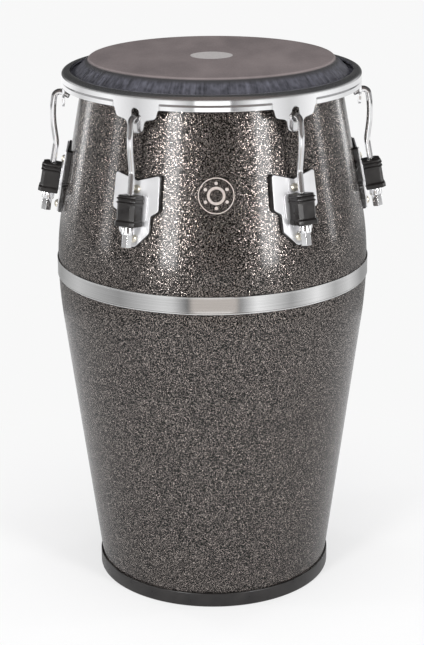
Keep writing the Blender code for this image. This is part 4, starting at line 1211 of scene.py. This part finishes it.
rises = [pi / 2 * i / 8 for i in range(8)]
outline = [(max(BOLT_DOME * sin(rise), AT_AXIS), BOLT_DOME_HEIGHT * cos(rise), 0) for rise in rises]
outline += [(BOLT_DOME, 0.0, 0.0003), (BOLT_RADIUS, 0.0, 0)]
outline += [(BOLT_RADIUS, -BOLT_REACH, 0.0004), (AT_AXIS, -BOLT_REACH, 0)]
bolts = [turned("bolt", rounded(outline, 3), 32) for _ in BOLT_UPS]
for bolt, up in zip(bolts, BOLT_UPS):
    bolt.data.transform(Matrix.Translation((GAP, 0, up)) @ Matrix.Rotation(pi / 2, 4, "Y"))
source = joined("bolt_source", bolts)
keep_on_shell(source, "plate_bolts", BOLT_STEEL, "chrome", "upper_bolt", "lower_bolt")

# %% [markdown]
# ## The pieces that stay as they are
# The steel strips inside the shell are plain bent bar with welded nuts, and their solids already say
# all there is. They only need the zinc finish.

# %% Finish for the strips
for lug in range(LUGS):
    strip = frame["nodes"][f"backing_strip_{lug + 1}"]
    strip.data.materials.clear()
    strip.data.materials.append(ZINC)
print("strips with zinc:", LUGS)

# %% [markdown]
# ## Two plain prints
# The shell has a round print between the two front lugs, and the hide has a pale disc at its centre.
# Here both are plain shapes of about the same size: rings and dots with no lettering. A print has no
# thickness to speak of, so each is a thin mesh that lies a tenth of a millimetre above its surface.

# %% Prints
PRINT_LIFT = 0.00012
PRINT_Z = 0.572
PRINT_RINGS = ((0.0212, 0.0223), (0.0080, 0.0112))
PRINT_STEPS, DOT_STEPS = 96, 32
PRINT_DOT = 0.0021
PRINT_DOT_CIRCLE = 0.0152
HEAD_PRINT_RADIUS = 0.0275


def circle(radius, around):
    angles = [2 * pi * i / around for i in range(around)]
    return [(radius * cos(angle), radius * sin(angle)) for angle in angles]


def print_layout():
    """The shell's print in its own plane: two rings, and a dot for each lug between them."""
    points, faces = [], []
    ring = ring_faces(2, PRINT_STEPS)
    shapes = [(circle(outer, PRINT_STEPS) + circle(inner, PRINT_STEPS), ring) for inner, outer in PRINT_RINGS]
    for lug in range(LUGS):
        angle = (lug + 0.5) * LUG_STEP
        across, up = PRINT_DOT_CIRCLE * cos(angle), PRINT_DOT_CIRCLE * sin(angle)
        dot = [(x + across, y + up) for x, y in circle(PRINT_DOT, DOT_STEPS)]
        shapes.append((dot, [tuple(range(DOT_STEPS))]))
    for more_points, more_faces in shapes:
        faces += [tuple(len(points) + i for i in face) for face in more_faces]
        points += more_points
    return points, faces


def on_shell(x, y):
    z = PRINT_Z + y * cos(TILT)
    radius = shell_radius(z) + PRINT_LIFT
    angle = -pi / 2 + x / radius
    return (radius * cos(angle), radius * sin(angle), z)


def printed(name, points, faces, finish, body):
    made = tidy(mesh_object(name, points, faces))
    made.data.materials.append(finish)
    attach(made, body)
    print(f"{name}: {len(made.data.polygons)} faces")


layout, layout_faces = print_layout()
roundel = [on_shell(x, y) for x, y in layout]
printed("shell_roundel", roundel, layout_faces, SHELL_PRINT, "drum")
disc = [(x, y, HEAD_Z + PRINT_LIFT) for x, y in circle(HEAD_PRINT_RADIUS, PRINT_STEPS)]
printed("head_disc", disc, [tuple(range(PRINT_STEPS))], HEAD_PRINT, "head")

# %% [markdown]
# ## The studio
# The drum stands on pale paper before a pale background. Chrome shows whatever stands round it, so the
# studio matters as much as the metal. In the photograph the upright chrome is bright and banded while
# the rounded shoulder of the rim is dark, which tells of pale paper low down in a dark, warm room. So
# the floor has brighter and darker stretches that reflections alone show, by direction, with a warm
# patch in front, and it fades into the dark room further out. A dome that reflections alone see glows
# low down at the sides. Tall soft boxes draw the bright streaks down the shell. The rim, the band and
# the rods are left out of their light, since they mirror the paper and would turn the boxes into hard
# white blocks.

# %% Rays, directions and the world
PALE = (0.94, 0.94, 0.94, 1.0)
LIT_ROOM = (0.55, 0.55, 0.56, 1.0)
WARM_DARK = (0.110, 0.090, 0.081)
ROOM = ((0.0, 0.025), (0.30, 0.030), (0.43, WARM_DARK), (0.57, WARM_DARK), (0.70, 0.030))


def seen_by(tree, *rays):
    """1 for a ray of any of the named kinds, else 0."""
    paths = add_node(tree, "ShaderNodeLightPath").outputs
    seen = paths[f"Is {rays[0]} Ray"]
    for ray in rays[1:]:
        seen = maths(tree, "MAXIMUM", seen, paths[f"Is {ray} Ray"])
    return seen


def direction_round(tree, place):
    """0 to 1 round the drum: 0.5 at the front, 0.25 at its left side, 0 and 1 at the back."""
    x, y, _ = add_node(tree, "ShaderNodeSeparateXYZ", {"Vector": place}).outputs
    angle = maths(tree, "ARCTAN2", x, maths(tree, "MULTIPLY", y, -1.0))
    return maths(tree, "MULTIPLY_ADD", angle, 1 / (2 * pi), 0.5)


world = bpy.data.worlds.new("studio")
bpy.context.scene.world = world
world.use_nodes = True
tree = world.node_tree
lit = tree.nodes["Background"]
plug(tree, lit, {"Color": LIT_ROOM})
pale = made_by(tree, "ShaderNodeBackground", {"Color": PALE})
seen = seen_by(tree, "Camera", "Glossy", "Transmission")
both = made_by(tree, "ShaderNodeMixShader", {"Fac": seen, 1: lit.outputs["Background"], 2: pale})
plug(tree, tree.nodes["World Output"], {"Surface": both})
print("world:", len(tree.nodes), "nodes")

# %% Floor
FLOOR_SIZE = 60.0
FLOOR_GREY = (0.80, 0.80, 0.80, 1.0)
FLOOR_LIFT = 0.10
SEEN_NEAR, SEEN_FAR, SHADOW_FADE = 0.24, 0.6, 0.5
PAPER_EDGE = (1.05, 1.13)
WARM = (0.65, 0.60, 0.56)
NEAR_PAPER = (
    (0.10, 0.40), (0.19, 0.70), (0.31, 0.38), (0.40, 0.85), (0.42, 0.80),
    (0.45, 0.18), (0.458, WARM), (0.541, WARM), (0.545, 0.25), (0.58, 1.15),
    (0.65, 0.45), (0.71, 1.10), (0.76, 0.55), (0.81, 0.85), (0.87, 0.40),
)
FAR_PAPER = (
    (0.12, 1.05), (0.18, 0.70), (0.27, 1.15), (0.34, 0.70), (0.41, 1.15),
    (0.46, 0.45), (0.463, 1.60), (0.532, 1.60), (0.535, 0.25), (0.59, 1.15),
    (0.66, 0.70), (0.73, 1.15), (0.82, 0.85),
)
FAR_START = (2.1, 3.0)
PAPER_END = (4.4, 5.8)


def mirrored_paper(tree, place, away):
    """What a reflection shows of the floor: near paper, then far paper, then the dark room."""
    direction = direction_round(tree, place)
    near, far, room = (ramp(tree, direction, stops) for stops in (NEAR_PAPER, FAR_PAPER, ROOM))
    paper = mixed(tree, ramp_between(tree, away, *FAR_START), near, far)
    return mixed(tree, ramp_between(tree, away, *PAPER_END), paper, room)


# Lit and shadowed near the drum, and as pale as the background further away.
corners = [(-0.5, -0.5), (0.5, -0.5), (0.5, 0.5), (-0.5, 0.5)]
points = [(FLOOR_SIZE * x, FLOOR_SIZE * y, -GAP) for x, y in corners]
floor = mesh_object("studio_floor", points, [(0, 1, 2, 3)])
made, tree, place = new_finish("studio_floor")
surface(
    tree,
    Base_Color=FLOOR_GREY,
    Roughness=0.9,
    Specular_IOR_Level=0.0,
    Emission_Color=(1, 1, 1, 1),
    Emission_Strength=maths(tree, "MULTIPLY", seen_by(tree, "Camera", "Transmission"), FLOOR_LIFT),
)
away = vectors(tree, "LENGTH", {0: place}, "Value")
mirrored = seen_by(tree, "Glossy", "Transmission")
seen_far = ramp_between(tree, away, SEEN_NEAR, SEEN_FAR, SHADOW_FADE)
far = mixed(tree, mirrored, seen_far, ramp_between(tree, away, *PAPER_EDGE), "FLOAT")
share = maths(tree, "MULTIPLY", far, seen_by(tree, "Camera", "Glossy", "Transmission"))
colour = mixed(tree, mirrored, PALE, mirrored_paper(tree, place, away))
glow = made_by(tree, "ShaderNodeEmission", {"Color": colour})
lit = tree.nodes["Principled BSDF"].outputs["BSDF"]
both = made_by(tree, "ShaderNodeMixShader", {"Fac": share, 1: lit, 2: glow})
plug(tree, tree.nodes["Material Output"], {"Surface": both})
made.cycles.emission_sampling = "NONE"
floor.data.materials.append(made)
print("floor:", len(tree.nodes), "nodes")

# %% Dome for reflections
DOME_RADIUS = 7.0
DOME_RINGS, DOME_AROUND = 24, 72
BY_HEIGHT = ((0.0, 0.85), (0.12, 0.72), (0.24, 0.20), (0.40, 0.0), (1.0, 0.0))
BY_DIRECTION = (
    (0.000, 0.12), (0.085, 0.12), (0.140, 0.80), (0.195, 0.45), (0.290, 0.45), (0.350, 0.40),
    (0.385, 0.25), (0.445, 0.08), (0.500, 0.05), (0.555, 0.08), (0.620, 0.25), (0.655, 0.40),
    (0.710, 0.45), (0.805, 0.45), (0.875, 0.80), (0.930, 0.12), (1.000, 0.12),
)
HIDDEN_FROM = ("camera", "diffuse", "shadow", "transmission", "volume_scatter")


def dome_mesh():
    rises = [pi / 2 * ring / DOME_RINGS for ring in range(DOME_RINGS)]
    rings = [(circle(DOME_RADIUS * cos(rise), DOME_AROUND), DOME_RADIUS * sin(rise)) for rise in rises]
    points = [(x, y, z) for ring, z in rings for x, y in ring] + [(0, 0, DOME_RADIUS)]
    apex = len(points) - 1
    last = range(apex - DOME_AROUND, apex)
    crown = [(i, last[i + 1 - apex], apex) for i in last]
    return mesh_object("reflected_dome", points, ring_faces(DOME_RINGS, DOME_AROUND) + crown)


dome = dome_mesh()
made, tree, place = new_finish("reflected_dome")
z = made_by(tree, "ShaderNodeSeparateXYZ", {"Vector": place}, "Z")
direction = direction_round(tree, place)
by_height = ramp(tree, maths(tree, "DIVIDE", z, DOME_RADIUS), BY_HEIGHT)
walls = mixed(tree, 1.0, by_height, ramp(tree, direction, BY_DIRECTION), blend="MULTIPLY")
light = mixed(tree, 1.0, walls, ramp(tree, direction, ROOM), blend="ADD")
glow = made_by(tree, "ShaderNodeEmission", {"Color": light})
plug(tree, tree.nodes["Material Output"], {"Surface": glow})
made.cycles.emission_sampling = "NONE"
dome.data.materials.append(made)
for kind in HIDDEN_FROM:
    setattr(dome, f"visible_{kind}", False)
print("dome:", len(dome.data.polygons), "faces")

# %% Soft boxes
BOX_DISTANCE, BOX_HEIGHT, BOX_AIM, BOX_TALL = 2.7, 1.06, 0.97, 1.6
BOXES = (
    ("far_left_box", -84, 0.40, 12),
    ("left_box", -32, 0.56, 50),
    ("right_box", 39, 0.56, 49),
    ("far_right_box", 95, 0.30, 10),
    ("left_rear_box", -128, 0.45, 12),
    ("right_rear_box", 135, 0.45, 10),
)
MIRRORS = bpy.data.collections.new("mirrors")
for piece in bpy.context.scene.objects:
    if piece.name.startswith(("chromed_rim", "belly_strap", "hooked_rod")):
        MIRRORS.objects.link(piece)
for link in MIRRORS.collection_objects:
    link.light_linking.link_state = "EXCLUDE"


def soft_box(name, place, target, size, power):
    light = bpy.data.lights.new(name, "AREA")
    light.shape = "RECTANGLE"
    light.size, light.size_y = size
    light.energy = power
    lamp = linked(name, light)
    lamp.location = place
    lamp.rotation_euler = (Vector(target) - Vector(place)).to_track_quat("-Z", "Y").to_euler()
    lamp.visible_camera = False
    lamp.light_linking.receiver_collection = MIRRORS
    return lamp


for name, direction, width, power in BOXES:
    towards = radians(direction)
    place = (BOX_DISTANCE * sin(towards), -BOX_DISTANCE * cos(towards), BOX_HEIGHT)
    soft_box(name, place, (0, 0, BOX_AIM), (width, BOX_TALL), power)
overhead = soft_box("overhead_box", (0, -0.2, 2.6), (0, 0, 0.5), (2.4, 2.4), 18)
overhead.visible_glossy = False

# %% [markdown]
# ## The camera
# The viewpoint was worked out from the drum itself: its circles show how high and how far the camera
# stood, and its lugs show which way the drum was turned. A long lens keeps the sides nearly parallel.

# %% Camera
PHOTO_HEIGHT = 645
FOCAL_PIXELS = 1745.4
CAMERA_DISTANCE = 2.2483
CAMERA_HEIGHT = 1.0974
CAMERA_PITCH = 0.3221
CAMERA_SIDE = radians(1.49)
CAMERA_ROLL = -0.0051
CAMERA_SHIFT = -0.858 / PHOTO_HEIGHT

data = bpy.data.cameras.new("photo_view")
data.sensor_fit = "VERTICAL"
data.sensor_height = 24.0
data.lens = FOCAL_PIXELS / PHOTO_HEIGHT * data.sensor_height
data.shift_x = CAMERA_SHIFT
data.clip_end = 100.0
camera = linked("photo_view", data)
across, back = -CAMERA_DISTANCE * sin(CAMERA_SIDE), -CAMERA_DISTANCE * cos(CAMERA_SIDE)
camera.location = (across, back, CAMERA_HEIGHT)
aim = Matrix.Rotation(-CAMERA_SIDE, 4, "Z") @ Matrix.Rotation(pi / 2 - CAMERA_PITCH, 4, "X")
camera.rotation_euler = (aim @ Matrix.Rotation(CAMERA_ROLL, 4, "Z")).to_euler()
bpy.context.scene.camera = camera
print(f"lens {data.lens:.1f} mm, {CAMERA_DISTANCE:.2f} m away")
bpy.context.scene.view_settings.view_transform = "Standard"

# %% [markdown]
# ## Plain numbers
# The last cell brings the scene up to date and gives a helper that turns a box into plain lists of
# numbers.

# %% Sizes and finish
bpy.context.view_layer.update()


def plain(box):
    return [[float(number) for number in corner] for corner in box]
